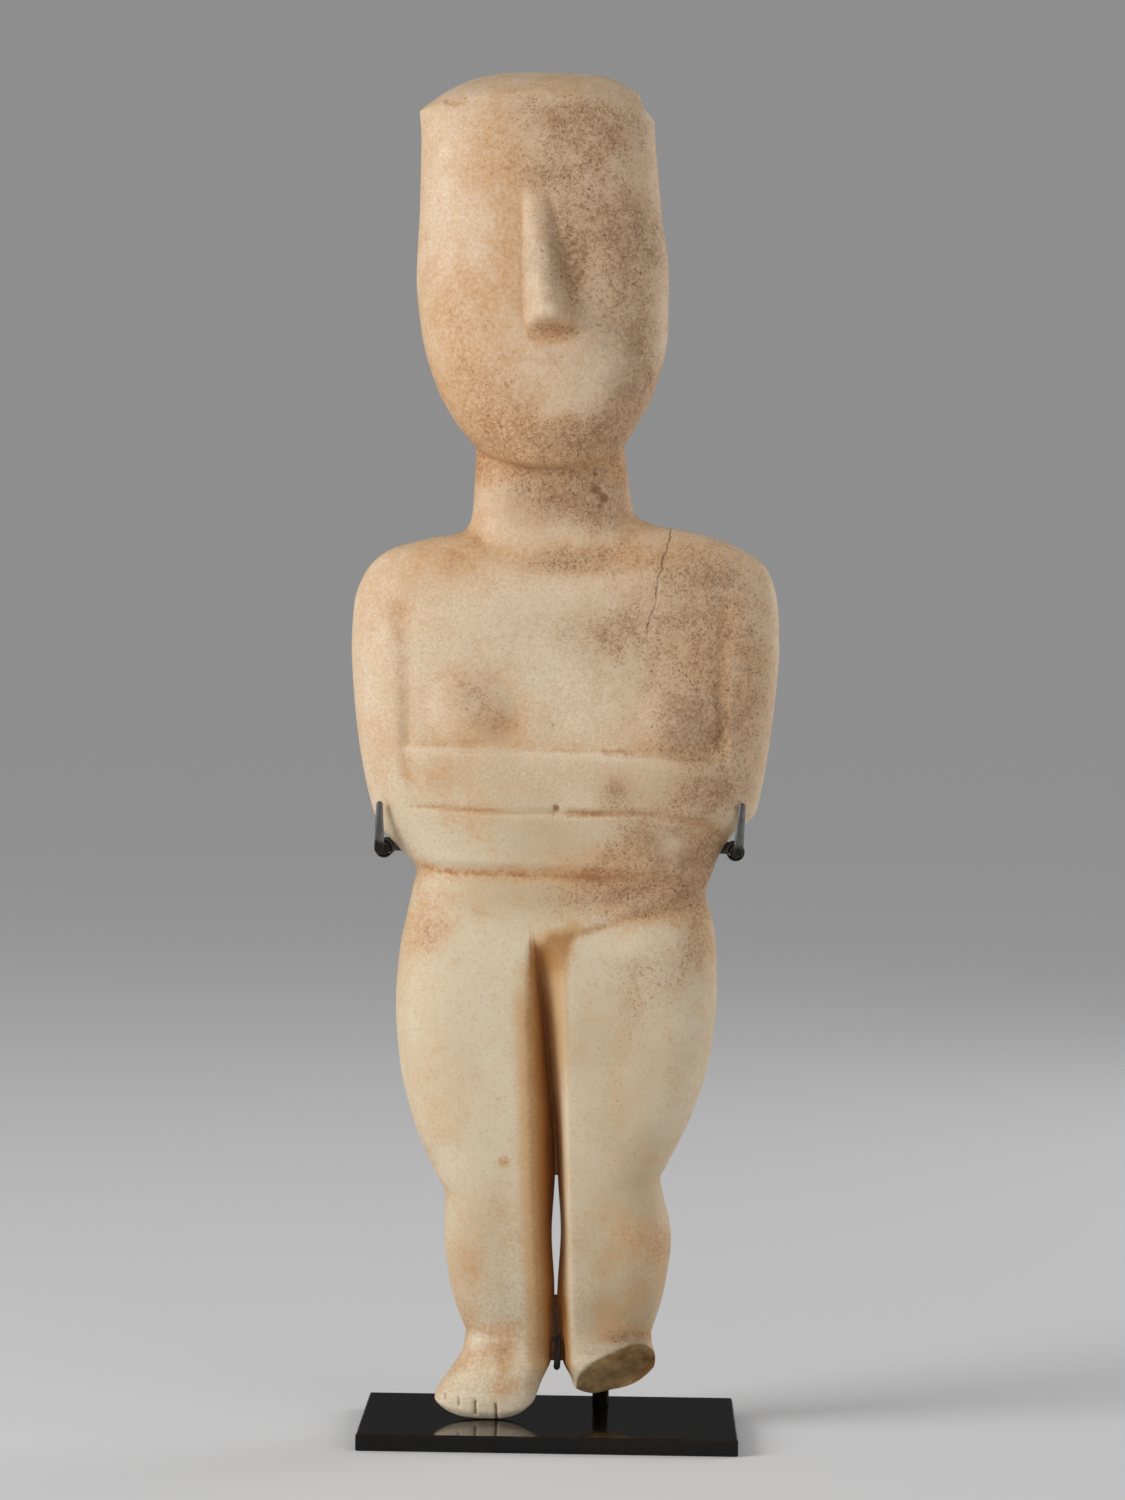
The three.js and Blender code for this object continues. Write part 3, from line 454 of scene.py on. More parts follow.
def foot_grid(side, t, ankles_row):
    """The part of the lower rows that belongs to a foot, from its outer edge to its inner one."""
    left = side == "left"
    outer, inner = (0, LEG_COLUMNS) if left else (COLUMNS, RIGHT_LEG)
    at = {name: (values[outer], values[inner]) for name, values in ankles_row.items()}
    depths = [section(name, np.array(ANKLES)) for name in ("front", "rim", "back")]
    first = [at["x"][0], at["z"][0], at["x"][1], at["z"][1], 0, *depths, at["front"][1], at["back"][1]]
    table = np.array([first] + FEET[side], float)
    ox, oz, ix, iz, dip, front, rim, back, inner_front, inner_back = (
        through(values, t)[:, None] for values in table.T
    )
    u = -np.cos(np.pi * np.arange(LEG_COLUMNS + 1) / LEG_COLUMNS)[None, :]
    x = mix(ox, ix, (u + 1) / 2)
    z = mix(oz, iz, (u + 1) / 2) - dip * (1 - np.abs(u) ** 3)
    shape = np.where(u < 0, swell(u, 2.3), swell(u, 3.2 if left else 5))
    front_y = rim + (front - rim) * shape
    back_y = rim + (back - rim) * shape
    front_y = np.minimum(front_y, mix(front_y, inner_front, smooth(u)))
    back_y = np.maximum(back_y, mix(back_y, inner_back, smooth(u)))
    broken = 0 * x
    if not left:
        face = np.minimum(broken_face(x, z), back_y - 1)
        broken = smooth((face - front_y + 0.5) / 1.2)
        front_y = np.maximum(front_y, face)
    inside = 1 - np.abs(np.minimum(u, 0)) ** 8 + 0 * x
    on_web = 0.01  # so that the right foot's inner edge has the web's brown and painted shade
    cleft = cleft_stain_and_shade(x, z, ix, FAR) if left else cleft_stain_and_shade(x, z, -FAR, ix + on_web)
    grid = {
        "x": x, "z": z, "front": front_y, "back": back_y, "inside": inside, "cleft": cleft, "broken": broken,
    }
    return grid if left else {name: values[:, ::-1] for name, values in grid.items()}


def row_places():
    """Places of the body's rows, at even steps along the figure's edge and middle."""
    t = np.linspace(0, ANKLES, 6000)
    left_x, left_z, _, right_z, rise, front, _, _ = (section(name, t) for name in SECTION_VALUES)
    middle = (left_z + right_z) / 2 + rise
    edge = np.hypot(np.diff(left_x), np.diff(left_z))
    moved = np.maximum(edge, np.hypot(np.diff(front), np.diff(middle)))
    total = np.concatenate([[0], np.cumsum(moved)])
    return np.interp(np.linspace(0, total[-1], BODY_ROWS + 1), total, t)


def figure_grid():
    body = body_grid(row_places())
    ankles_row = {name: values[-1] for name, values in body.items()}
    t = np.arange(1, len(FEET["left"]) * FOOT_ROWS + 1) / FOOT_ROWS
    left, right = (foot_grid(side, t, ankles_row) for side in ("left", "right"))
    share = np.arange(1, WEB_COLUMNS)[None, :] / WEB_COLUMNS
    feet = {
        name: np.hstack([left[name], mix(left[name][:, -1:], right[name][:, :1], share), right[name]])
        for name in left
    }
    grid = {name: np.vstack([body[name], feet[name]]) for name in body}
    near_ankles = bell(np.arange(len(grid["z"])) - BODY_ROWS, 7)[:, None]
    for side in ("front", "back"):
        grid[side] = mix(grid[side], blurred(grid[side], 30, axes=(0,)), near_ankles)
    return grid


# Weathering, painted as masks by place on the stone, with some painted shade and painted highlights
# among the marks. Each spot is x, z, half width, half height and strength.
# The patch on the neck under the chin is partly painted shadow; the rest are stains and film
DARK_SPOTS = [
    (16, 388, 14, 9, 0.4), (7, 365, 12, 12, 0.5), (21, 356, 11, 16, 0.55), (3, 349, 4, 12, 0.8),
    (-2, 390, 14, 12, 0.3), (-8, 388, 24, 10, 0.2), (-6, 397, 26, 5, 0.25), (-4, 318, 22, 14, 0.3),
    (4, 378, 12, 12, 0.3), (22, 315, 9, 14, 0.7), (10, 299, 14, 6, 0.75), (-20, 308, 14, 8, 0.3),
    (-6, 376, 8, 5, 0.4), (16, 335, 14, 18, 0.5), (6, 394, 18, 5, 0.25), (-33.5, 397.5, 3.4, 0.8, 0.6),
    (-6.5, 350, 7, 18, 0.85), (11, 279, 8, 9, 0.6), (-4, 281, 16, 10, 0.95), (2, 261, 13, 4, 0.65),
    (-24, 296, 10, 6, 0.2), (43, 257, 12, 7, 0.6), (33, 246, 14, 12, 0.35), (15, 238, 14, 10, 0.45),
    (50, 235, 14, 22, 0.3), (39, 211, 10, 7, 1.0), (34, 222, 14, 10, 0.4), (2, 298, 18, 4, 0.4),
    (-27, 221, 9, 7, 0.6), (-20, 216, 7, 7, 0.3), (44, 193, 11, 8, 0.65), (17, 193, 5, 6, 0.6),
    (38, 170.5, 10, 6, 1.0), (31, 178, 13, 8, 0.5), (23, 162, 11, 5, 1.0), (36, 164, 8, 5, 0.8),
    (42, 191, 10, 12, 0.35), (46, 174, 5, 9, 0.5), (55, 215, 9, 26, 0.4), (33, 140, 11, 10, 0.5),
    (22, 141, 6, 5, 0.35), (24, 128, 8, 9, 0.4), (42, 150, 5, 10, 0.45), (-38, 150, 6, 7, 0.3),
    (-22, 233, 20, 10, 0.25), (-4, 243, 26, 10, 0.3), (24, 184, 10, 10, 0.45), (6, 160, 12, 7, 0.4),
    (22, 104, 14, 18, 0.14), (20, 84, 8, 8, 0.25), (24, 60, 10, 12, 0.15), (23, 29.5, 8, 2.6, 0.35),
    (-10, 162, 26, 5, 0.25), (25, 22, 8, 7, 0.8), (4, 175, 30, 5, 0.2),
]
# The orange-brown under the nose's tip and under the chin is partly painted shade; the rest are stains
WARM_SPOTS = [
    (-31, 338, 12, 16, 0.6), (-27, 312, 16, 14, 0.65), (-2, 329, 7, 3, 0.9), (0, 289, 30, 6, 0.8),
    (-24, 287, 6, 12, 0.35), (20, 285, 6, 12, 0.35), (-32, 262, 12, 8, 0.7), (-50, 250, 10, 12, 0.4),
    (30, 264, 18, 6, 0.35), (4, 262, 22, 5, 0.7), (-52, 205, 5, 30, 0.12), (52, 222, 9, 30, 0.4),
    (-34, 197, 10, 8, 0.35), (-20, 213, 14, 4, 0.4), (34, 206, 12, 3, 0.5), (-22, 384, 12, 14, 0.35),
    (24, 170, 24, 5, 0.5), (0, 168, 40, 3, 0.3), (-38, 151, 8, 10, 0.6), (-30, 162, 14, 5, 0.35),
    (26, 157, 18, 4, 0.45), (-14.1, 83.1, 1.8, 1.4, 1.0), (-12.5, 13.6, 4.5, 2.6, 0.75),
    (-13.5, 24.5, 3, 5, 0.45), (-18, 32, 9, 6, 0.2), (23, 29.5, 9, 3, 0.7), (34, 57, 5, 8, 0.4),
    (-25, 45, 5, 16, 0.4), (-31, 11, 5, 3, 0.4), (-36, 100, 5, 18, 0.15), (26, 42, 6, 6, 0.2),
    (-16, 60, 10, 14, 0.2), (-20, 20, 12, 8, 0.3), (21, 37, 10, 8, 0.35), (20, 58, 14, 14, 0.2),
    (-2, 352, 30, 40, 0.12), (40, 240, 18, 22, 0.4), (-4, 300, 20, 6, 0.4), (-24, 184, 8, 8, 0.4),
    (-18, 213, 9, 8, 0.25), (-27, 220, 10, 9, 0.3), (34, 172, 18, 9, 0.6), (-8, 12, 4, 6, 0.3),
    (24, 120, 16, 30, 0.1), (22, 305, 8, 14, 0.5), (30, 170, 18, 8, 0.6), (26, 58, 10, 8, 0.35),
    (43, 150, 6, 14, 0.45), (-20, 300, 12, 8, 0.3), (-8, 404, 30, 8, 0.25), (0, 298, 22, 5, 0.5),
    (0, 147, 6, 5, 0.6), (-17, 352, 5, 22, 0.4), (-20, 376, 16, 12, 0.3), (30, 163, 18, 9, 0.6),
]
# A smooth darker tan without dots: tan film on the right leg, the bands and the belly, and painted shade on
# the left breast's lower side and on the neck under the chin
TAN_FILM_AND_SHADE_SPOTS = [
    (20, 122, 20, 30, 0.7), (24, 84, 14, 20, 0.5), (22, 55, 16, 20, 1.0), (-5, 188, 44, 18, 0.45),
    (-6, 162, 34, 7, 0.6), (-24, 56, 12, 20, 0.35), (44, 150, 8, 16, 0.4), (-18, 212, 7, 7, 0.6),
    (6, 174, 44, 10, 0.35), (34, 168, 14, 9, 0.9), (46, 190, 10, 14, 0.5), (22, 34, 12, 11, 1.0),
    (29, 163, 11, 5, 0.6), (22, 310, 10, 14, 0.4), (-4, 282, 16, 10, 0.5),
]
# Paler rubbed or bruised stone. The thin lines along the forearms' top edge and under their middle line are
# painted highlights where these edges catch the light
PALE_SPOTS = [
    (-22, 28, 2.4, 2.6, 0.9), (-8.5, 24, 3.2, 2.4, 0.7), (-7.5, 12, 2.4, 5, 0.7),
    (-15, 8, 14, 3.5, 0.6), (-27, 11, 6, 3, 0.4), (-7.5, 9, 5, 4, 0.5), (-8, 342, 3, 8, 0.3),
    (-10, 358, 2, 8, 0.3), (-27, 24, 2.5, 3, 0.5), (-17, 20, 2, 4, 0.5), (-24, 17, 3, 2, 0.5),
    (-11, 11, 2, 4, 0.4), (14, 320, 8, 8, 0.4), (-22, 205.6, 22, 0.8, 0.35), (14, 203.9, 20, 0.8, 0.7),
    (-46.4, 396, 3, 4, 0.5), (22, 26.6, 9, 0.9, 0.6), (-56, 222, 3, 10, 0.4), (-10, 238, 8, 6, 0.2),
    (5, 213, 4, 5, 0.3), (-28, 217, 5, 4, 0.25), (0, 185.6, 30, 0.6, 0.4), (-4.2, 335.5, 2.5, 1.5, 0.6),
    (-6.5, 350, 3.5, 14, 0.35), (-16, 28.5, 8, 0.7, 0.5), (22, 149, 8, 5, 0.4),
    (34.5, 177.5, 5, 3.5, 0.5), (24.6, 396, 2, 2, 0.7), (11, 322, 7, 10, 0.2),
]


def spots(marks, x, z):
    total = 0
    for cx, cz, width, height, strength in marks:
        total = total + strength * np.exp(-(((x - cx) / width) ** 2 + ((z - cz) / height) ** 2))
    return np.clip(total, 0, 1)


def blurred(values, passes, axes=(0, 1)):
    """Values of a grid, averaged with their neighbours several times."""
    for _ in range(passes):
        for axis in axes:
            padded = np.concatenate(
                [values.take([0], axis), values, values.take([-1], axis)], axis
            )
            n = values.shape[axis]
            low, mid, high = (padded.take(range(k, k + n), axis) for k in range(3))
            values = (low + 2 * mid + high) / 4
    return values


def hollows(points, facing):
    """How far each point of a grid lies below its surroundings."""
    normal = np.cross(np.gradient(points, axis=0), np.gradient(points, axis=1))
    normal /= np.linalg.norm(normal, axis=-1, keepdims=True) + 1e-9
    normal *= np.sign(normal[..., 1:2] * facing + 1e-9)
    return ((blurred(points, 18) - points) * normal).sum(axis=-1)


def figure_points(grid):
    """The front and back sheets [row, column, 3], with the fine relief on them."""
    x, z, inside = grid["x"], grid["z"], grid["inside"]
    sheets = {}
    for side, facing in (("front", -1), ("back", 1)):
        points = np.stack([x, grid[side], z], axis=-1)
        relief = uneven(points, RELIEF)
        if side == "front":
            relief = relief + front_marks(x, z)
            relief = mix(relief, uneven(points, ROUGH_BREAK) - 0.3, grid["broken"])
        points[..., 1] += facing * relief * inside
        for centre, radius, push in DENTS:
            away = np.linalg.norm(points - np.array(centre), axis=-1)
            points += np.array(push) * smooth(1 - away / radius)[..., None]
        chip_z, chip_x = np.array(CHIP).T
        limit = np.interp(points[..., 2], chip_z, chip_x) + 0.35 * noise(points, 2.4, 6)
        above = points[..., 2] > chip_z[0]
        points[..., 0] = np.where(above, np.minimum(points[..., 0], limit), points[..., 0])
        sheets[side] = points
    rim = (sheets["front"] + sheets["back"]) / 2
    for column in (0, COLUMNS):
        for side in sheets:
            sheets[side][:, column] = rim[:, column]
    return sheets


def weathering_and_painted_light(grid, sheets, side):
    """The masks that the marble's material reads, for one sheet: stains and wear, with painted shade and
    painted highlights in some of them.
    """
    x, z, inside = grid["x"], grid["z"], grid["inside"]
    points = sheets[side]
    facing = -1 if side == "front" else 1
    # How deep each point lies in a hollow: the material browns hollows with patina and painted shade, and
    # lightens ridges
    hollow = hollows(points, facing)
    lumps = 0.5 + 0.5 * noise(points, 24, 11)
    right = smooth((x + 6) / 26) * smooth((z - 150) / 60)
    dark = np.clip(spots(DARK_SPOTS, x, z) + 0.2 * right * (0.5 + lumps), 0, 1)
    warm = spots(WARM_SPOTS, x, z)
    # Paler rubbed stone, with painted highlights along the forearms' edges
    pale = spots(PALE_SPOTS, x, z)
    # Smooth darker tan: tan film, and painted shade on the left breast's lower side and under the chin
    shade = spots(TAN_FILM_AND_SHADE_SPOTS, x, z) * (side == "front")
    cleft = grid["cleft"]
    ivory = smooth((214 - z) / 40) + spots([(-4, 236, 26, 16, 0.8)], x, z)
    if side == "back":
        dark = mix(dark, 0.25 * lumps + 0.2 * smooth((noise(points, 40, 12) + 0.2) / 0.8), inside)
        warm = mix(warm, 0.3 * smooth(noise(points, 30, 13) / 0.7), inside)
        pale = pale * (1 - inside)
        near_web = bell(x - (along(WEB_LEFT, z) + along(WEB_RIGHT, z)) / 2, 5)
        # On the back the groove between the legs is browned too: partly patina and partly painted shade in
        # the recess
        cleft = smooth((14 - grid["back"]) / 8) * smooth((150 - z) / 14) * smooth((z - 20) / 8) * near_web
    edge = 1 - inside
    toes = grooves(TOE_LINES, x, z)
    crack_x, crack_z = np.array(CRACK[::-1]).T
    crack_side = np.sign(x - np.interp(z, crack_z, crack_x))
    from_crack = distance_to(CRACK, x, z) + 0.14 * smooth((264 - z) / 14)
    # Brown lines: patina, and painted shadow along the forearms' edges and the arms' grooves
    lines = sum(strength * bell(distance_to(line, x, z), width) for line, width, strength in STAIN_AND_SHADOW_LINES)
    lines = lines * inside * (side == "front") * (0.6 + 0.8 * lumps)
    return {
        "hollow": np.clip(hollow / 0.55, 0, 1),
        "ridge": np.clip(-hollow / 0.55, 0, 1) * smooth((290 - z) / 8) * mix(0.5, 1, smooth((60 - z) / 20)),
        "ivory": np.clip(ivory, 0, 1),
        "dark": dark,
        "warm": np.clip(warm + 0.18 * edge * (0.4 + lumps), 0, 1),
        "pale": pale,
        "shade": shade,
        "cleft": cleft,
        "broken": grid["broken"] if side == "front" else 0 * x,
        "cut": np.clip(1.7 * toes + 2.2 * pits(x, z), 0, 1) * (side == "front"),
        "line": np.clip(lines, 0, 1),
        "from_crack": crack_side * from_crack if side == "front" else FAR + 0 * x,
    }


def figure_faces(grid):
    """Vertex numbers of both sheets, and the faces that join them into one closed mesh."""
    rows = grid["z"].shape[0]
    bottom = rows - 1
    ankles = BODY_ROWS
    web_end = ankles + WEB_END * FOOT_ROWS
    heights = grid["z"][: ankles + 1, LEG_COLUMNS]
    slit_top, slit_bottom = (int(np.argmin(np.abs(heights - SLIT[end]))) for end in ("top", "bottom"))
    front = np.arange(rows * (COLUMNS + 1)).reshape(rows, COLUMNS + 1)
    back = np.full_like(front, -1)
    kept = np.arange(BACK_STEP, COLUMNS, BACK_STEP)
    back[:, kept] = front.size + np.arange(rows * len(kept)).reshape(rows, -1)
    back[:, [0, COLUMNS]] = front[:, [0, COLUMNS]]

    is_open = np.zeros((bottom, COLUMNS), bool)
    gaps = ((slit_top, slit_bottom), (web_end, bottom))
    for low, high in gaps:
        is_open[low:high, LEG_COLUMNS:RIGHT_LEG] = True
    faces = []
    shut = ~is_open
    corners = (front[:-1, :-1], front[1:, :-1], front[1:, 1:], front[:-1, 1:])
    faces.append(np.stack([c[shut] for c in corners], axis=-1))
    shut = ~is_open[:, ::BACK_STEP]
    wide = back[:, ::BACK_STEP]
    corners = (wide[:-1, :-1], wide[:-1, 1:], wide[1:, 1:], wide[1:, :-1])
    faces.append(np.stack([c[shut] for c in corners], axis=-1))
    for low, high in gaps:
        j = np.arange(low, high)
        a, b = LEG_COLUMNS, RIGHT_LEG
        faces.append(np.stack([front[j, a], back[j, a], back[j + 1, a], front[j + 1, a]], axis=-1)[:, ::-1])
        faces.append(np.stack([front[j, b], back[j, b], back[j + 1, b], front[j + 1, b]], axis=-1))
    faces = [tuple(int(v) for v in face) for block in faces for face in block]

    def close(j, start, end, facing_up):
        """Joins the two sheets across some columns of one row."""
        for i in range(start, end, BACK_STEP):
            f = [int(front[j, i + k]) for k in range(BACK_STEP + 1)]
            b = [int(back[j, i]), int(back[j, i + BACK_STEP])]
            ring = list(dict.fromkeys(f + b[::-1]))
            faces.append(tuple(ring if facing_up else ring[::-1]))

    close(0, 0, COLUMNS, True)
    close(slit_top, LEG_COLUMNS, RIGHT_LEG, False)
    close(slit_bottom, LEG_COLUMNS, RIGHT_LEG, True)
    close(web_end, LEG_COLUMNS, RIGHT_LEG, False)
    close(bottom, 0, LEG_COLUMNS, False)
    close(bottom, RIGHT_LEG, COLUMNS, False)
    return kept, faces


def placed(name, data):
    item = bpy.data.objects.new(name, data)
    bpy.context.scene.collection.objects.link(item)
    return item


def new_piece(name, points_mm, faces, material):
    mesh = bpy.data.meshes.new(name)
    mesh.from_pydata((np.asarray(points_mm, float) * MM).tolist(), [], faces)
    mesh.validate()
    mesh.materials.append(material)
    piece = placed(name, mesh)
    mesh.shade_smooth()
    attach(piece, "root")
    return piece


def make_figure(material):
    grid = figure_grid()
    sheets = figure_points(grid)
    kept, faces = figure_faces(grid)
    masks = {side: weathering_and_painted_light(grid, sheets, side) for side in sheets}
    points = np.vstack([sheets["front"].reshape(-1, 3), sheets["back"][:, kept].reshape(-1, 3)])
    low, high = (np.array(corner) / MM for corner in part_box("figurine"))
    points = np.clip(points, low, high)
    piece = new_piece("marble_figure", points, faces, material)
    for name in masks["front"]:
        values = np.concatenate([masks["front"][name].ravel(), masks["back"][name][:, kept].ravel()])
        layer = piece.data.attributes.new(name, "FLOAT", "POINT")
        layer.data.foreach_set("value", values.astype(np.float32))
    drop_loose_points(piece)
    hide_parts("figurine")
    return piece


def drop_loose_points(piece):
    mesh = bmesh.new()
    mesh.from_mesh(piece.data)
    loose = [v for v in mesh.verts if not v.link_faces]
    bmesh.ops.delete(mesh, geom=loose, context="VERTS")
    mesh.to_mesh(piece.data)
    mesh.free()


# Materials
def srgb(red, green, blue):
    """A colour as it is seen on a screen, 0 to 255, as Blender's linear values."""
    c = np.array([red, green, blue]) / 255
    linear = np.where(c <= 0.04045, c / 12.92, ((c + 0.055) / 1.055) ** 2.4)
    return (*(float(v) for v in linear), 1.0)


class Shader:
    """A material's node tree, built from the outputs of earlier nodes."""

    def __init__(self, name):
        self.material = bpy.data.materials.new(name)
        self.material.use_nodes = True
        self.tree = self.material.node_tree
        self.surface = self.tree.nodes["Principled BSDF"]
        self.place = self.node("ShaderNodeTexCoord").outputs["Object"]
        self.height = self.node("ShaderNodeSeparateXYZ", {"Vector": self.place}).outputs["Z"]
        self.colour = None

    def node(self, kind, inputs=None, **settings):
        node = self.tree.nodes.new(kind)
        for name, value in settings.items():
            setattr(node, name, value)
        for name, value in (inputs or {}).items():
            self.feed(node.inputs[name], value)
        return node

    def feed(self, socket, value):
        if isinstance(value, bpy.types.NodeSocket):
            self.tree.links.new(value, socket)
        else:
            socket.default_value = value

    def attribute(self, name):
        return self.node("ShaderNodeAttribute", attribute_name=name).outputs["Fac"]

    def noise(self, size_mm, detail=2.0, roughness=0.5, stretch=None):
        place = self.place
        if stretch:
            place = self.node("ShaderNodeMapping", {"Vector": place, "Scale": stretch}).outputs["Vector"]
        inputs = {"Vector": place, "Scale": 1 / (size_mm * MM), "Detail": detail, "Roughness": roughness}
        return self.node("ShaderNodeTexNoise", inputs).outputs["Fac"]

    def math(self, operation, a, b=0.0):
        node = self.node("ShaderNodeMath", operation=operation)
        self.feed(node.inputs[0], a)
        self.feed(node.inputs[1], b)
        return node.outputs[0]

    def times(self, a, b):
        return self.math("MULTIPLY", a, b)

    def plus(self, a, b):
        return self.math("ADD", a, b)

    def step(self, value, low, high, start=0.0, end=1.0):
        """start below low, end above high, and smooth between them."""
        inputs = {"Value": value, "From Min": low, "From Max": high, "To Min": start, "To Max": end}
        return self.node("ShaderNodeMapRange", inputs, interpolation_type="SMOOTHSTEP").outputs["Result"]

    def blend(self, a, b, share):
        node = self.node("ShaderNodeMix", data_type="RGBA")
        for socket, value in ((node.inputs[0], share), (node.inputs[6], a), (node.inputs[7], b)):
            self.feed(socket, value)
        return node.outputs[2]

    def paint(self, colour, share):
        """Lays a colour or another node's colour over what is painted so far."""
        top = srgb(*colour) if isinstance(colour, tuple) else colour
        self.colour = self.blend(self.colour, top, share)

    def bump(self, height, distance_mm, strength=1.0, normal=None):
        inputs = {"Height": height, "Distance": distance_mm * MM, "Strength": strength}
        if normal is not None:
            inputs["Normal"] = normal
        return self.node("ShaderNodeBump", inputs).outputs["Normal"]

    def finish(self, **sockets):
        for name, value in sockets.items():
            self.feed(self.surface.inputs[name.replace("_", " ")], value)
        return self.material


GRAINY = {"waist": (150, 200), "feet": (20, 75)}  # heights where the stone's grain changes


def marble_material():
    s = Shader("weathered_marble_and_painted_shade")
    names = (
        "hollow", "ridge", "ivory", "dark", "warm", "pale",
        "cleft", "broken", "cut", "line", "from_crack", "shade",
    )
    hollow, ridge, ivory, dark, warm, pale, cleft, broken, cut, line, from_crack, shade = (
        s.attribute(name) for name in names
    )
    broad = s.noise(34, 3, 0.55)
    cloud = s.noise(8, 4, 0.6)
    grain = s.noise(1.3, 4, 0.75)
    fine = s.noise(0.75, 3, 0.7)

    # Clean stone: peach on the head, ivory on the body, with a crystalline grain
    s.colour = s.blend(srgb(224, 197, 166), srgb(224, 208, 179), ivory)
    s.paint((212, 180, 140), s.step(broad, 0.45, 0.7, 0.0, 0.5))
    waist, feet = ([z * MM for z in heights] for heights in (GRAINY["waist"], GRAINY["feet"]))
    grainy = s.math("MAXIMUM", s.step(s.height, *waist, 0.25, 0.85), s.step(s.height, *feet, 1.3, 0.25))
    s.paint((246, 232, 210), s.times(grainy, s.step(fine, 0.5, 0.68, 0.0, 0.7)))
    s.paint((198, 160, 118), s.times(grainy, s.step(fine, 0.34, 0.5, 0.4, 0.0)))
    s.paint((200, 164, 122), s.step(grain, 0.5, 0.7, 0.0, 0.42))

    # Smooth darker tan: tan film, and painted shade on the left breast's lower side and under the chin
    s.paint((184, 160, 124), s.times(shade, s.step(broad, 0.3, 0.7, 0.35, 0.75)))

    # Tan and orange-brown stains and patina, granular, in hollows, along lines and in patches, partly
    # painted shade in the hollows
    stain_and_shade = s.plus(warm, s.times(hollow, 0.35))
    stain_and_shade = s.plus(stain_and_shade, s.step(cloud, 0.3, 0.75, -0.12, 0.24))
    stain_and_shade = s.times(stain_and_shade, s.step(grain, 0.32, 0.66, 0.4, 1.15))
    s.paint((210, 166, 118), s.step(stain_and_shade, 0.0, 0.6, 0.0, 0.85))
    s.paint((178, 122, 70), s.step(stain_and_shade, 0.45, 1.25, 0.0, 0.85))
    # Brown along the lines: patina in the grooves, and painted shadow under the forearms' edges
    line_stain_and_shadow = s.times(line, s.step(s.plus(grain, cloud), 0.75, 1.25, 0.35, 1.2))
    s.paint((186, 136, 84), s.step(line_stain_and_shadow, 0.02, 0.5, 0.0, 0.75))
    s.paint((146, 96, 52), s.step(line_stain_and_shadow, 0.35, 0.95, 0.0, 0.8))

    # Brown film and root marks: small dark dots, thick where the stone is dark. Under the chin the dark mask
    # is partly painted shadow
    patchy = s.plus(s.times(grain, 0.6), s.times(cloud, 0.4))
    film = s.times(dark, s.step(patchy, 0.36, 0.64, 0.5, 1.12))
    s.paint((194, 158, 122), s.step(film, 0.02, 0.85, 0.0, 0.82))
    s.paint((150, 110, 74), s.step(film, 0.55, 1.15, 0.0, 0.6))
    density = s.plus(dark, s.times(warm, 0.6))
    limit = s.step(density, 0.0, 1.0, 0.62, 0.49)
    dots = s.step(s.math("SUBTRACT", s.noise(0.75, 3, 0.7), limit), 0.0, 0.1)
    dots = s.times(dots, s.step(s.noise(4, 4, 0.65), 0.3, 0.58, 0.35, 1.0))
    dot_colour = s.blend(srgb(160, 104, 58), srgb(124, 86, 58), s.step(dark, 0.1, 0.7))
    s.paint(dot_colour, s.times(dots, 0.64))
    rare_limit = s.step(density, 0.0, 1.0, 0.75, 0.63)
    rare = s.step(s.math("SUBTRACT", s.noise(1.1, 3, 0.6), rare_limit), 0.0, 0.06)
    s.paint((84, 56, 34), s.times(rare, 0.85))

    # Bruised and rubbed places are paler, and the thin pale lines on the forearms' edges are painted
    # highlights
    s.paint((242, 226, 200), s.times(pale, s.step(fine, 0.35, 0.6, 0.35, 0.9)))
    s.paint((240, 222, 192), s.times(ridge, 0.35))

    # The cleft, the broken face and the incised lines
    # The cleft's browns: patina in the groove and painted shade, darkest on the left leg's inner side and
    # the deep web, lighter on the lit right wall
    tone = s.plus(cleft, s.times(cleft, s.step(patchy, 0.35, 0.65, -0.12, 0.1)))
    s.paint((202, 160, 106), s.step(tone, 0.02, 0.32, 0.0, 0.8))
    s.paint((178, 128, 74), s.step(tone, 0.28, 0.55, 0.0, 0.9))
    s.paint((182, 122, 66), s.step(tone, 0.5, 0.78, 0.0, 0.95))
    s.paint((152, 98, 56), s.step(tone, 0.8, 1.02, 0.0, 0.9))
    s.paint((70, 48, 36), s.step(tone, 1.2, 1.5, 0.0, 0.85))
    mottled = s.step(s.noise(5, 4, 0.65), 0.35, 0.65, 0.0, 0.7)
    rough_face = s.blend(srgb(206, 168, 112), srgb(152, 112, 64), mottled)
    rough_face = s.blend(rough_face, srgb(122, 84, 46), s.step(film, 0.1, 0.9, 0.0, 0.8))
    s.paint(rough_face, s.step(broken, 0.2, 1.0, 0.0, 0.9))
    s.paint((134, 88, 52), s.step(cut, 0.25, 0.95, 0.0, 0.85))
    wander = s.step(s.noise(2.2, 3, 0.6), 0.2, 0.8, -0.5, 0.5)
    off_crack = s.math("ABSOLUTE", s.plus(from_crack, wander))
    crack = s.times(s.step(off_crack, 0.12, 0.42, 1.0, 0.0), s.step(cloud, 0.35, 0.5, 0.55, 1.0))
    s.paint((104, 74, 50), s.times(crack, 0.7))

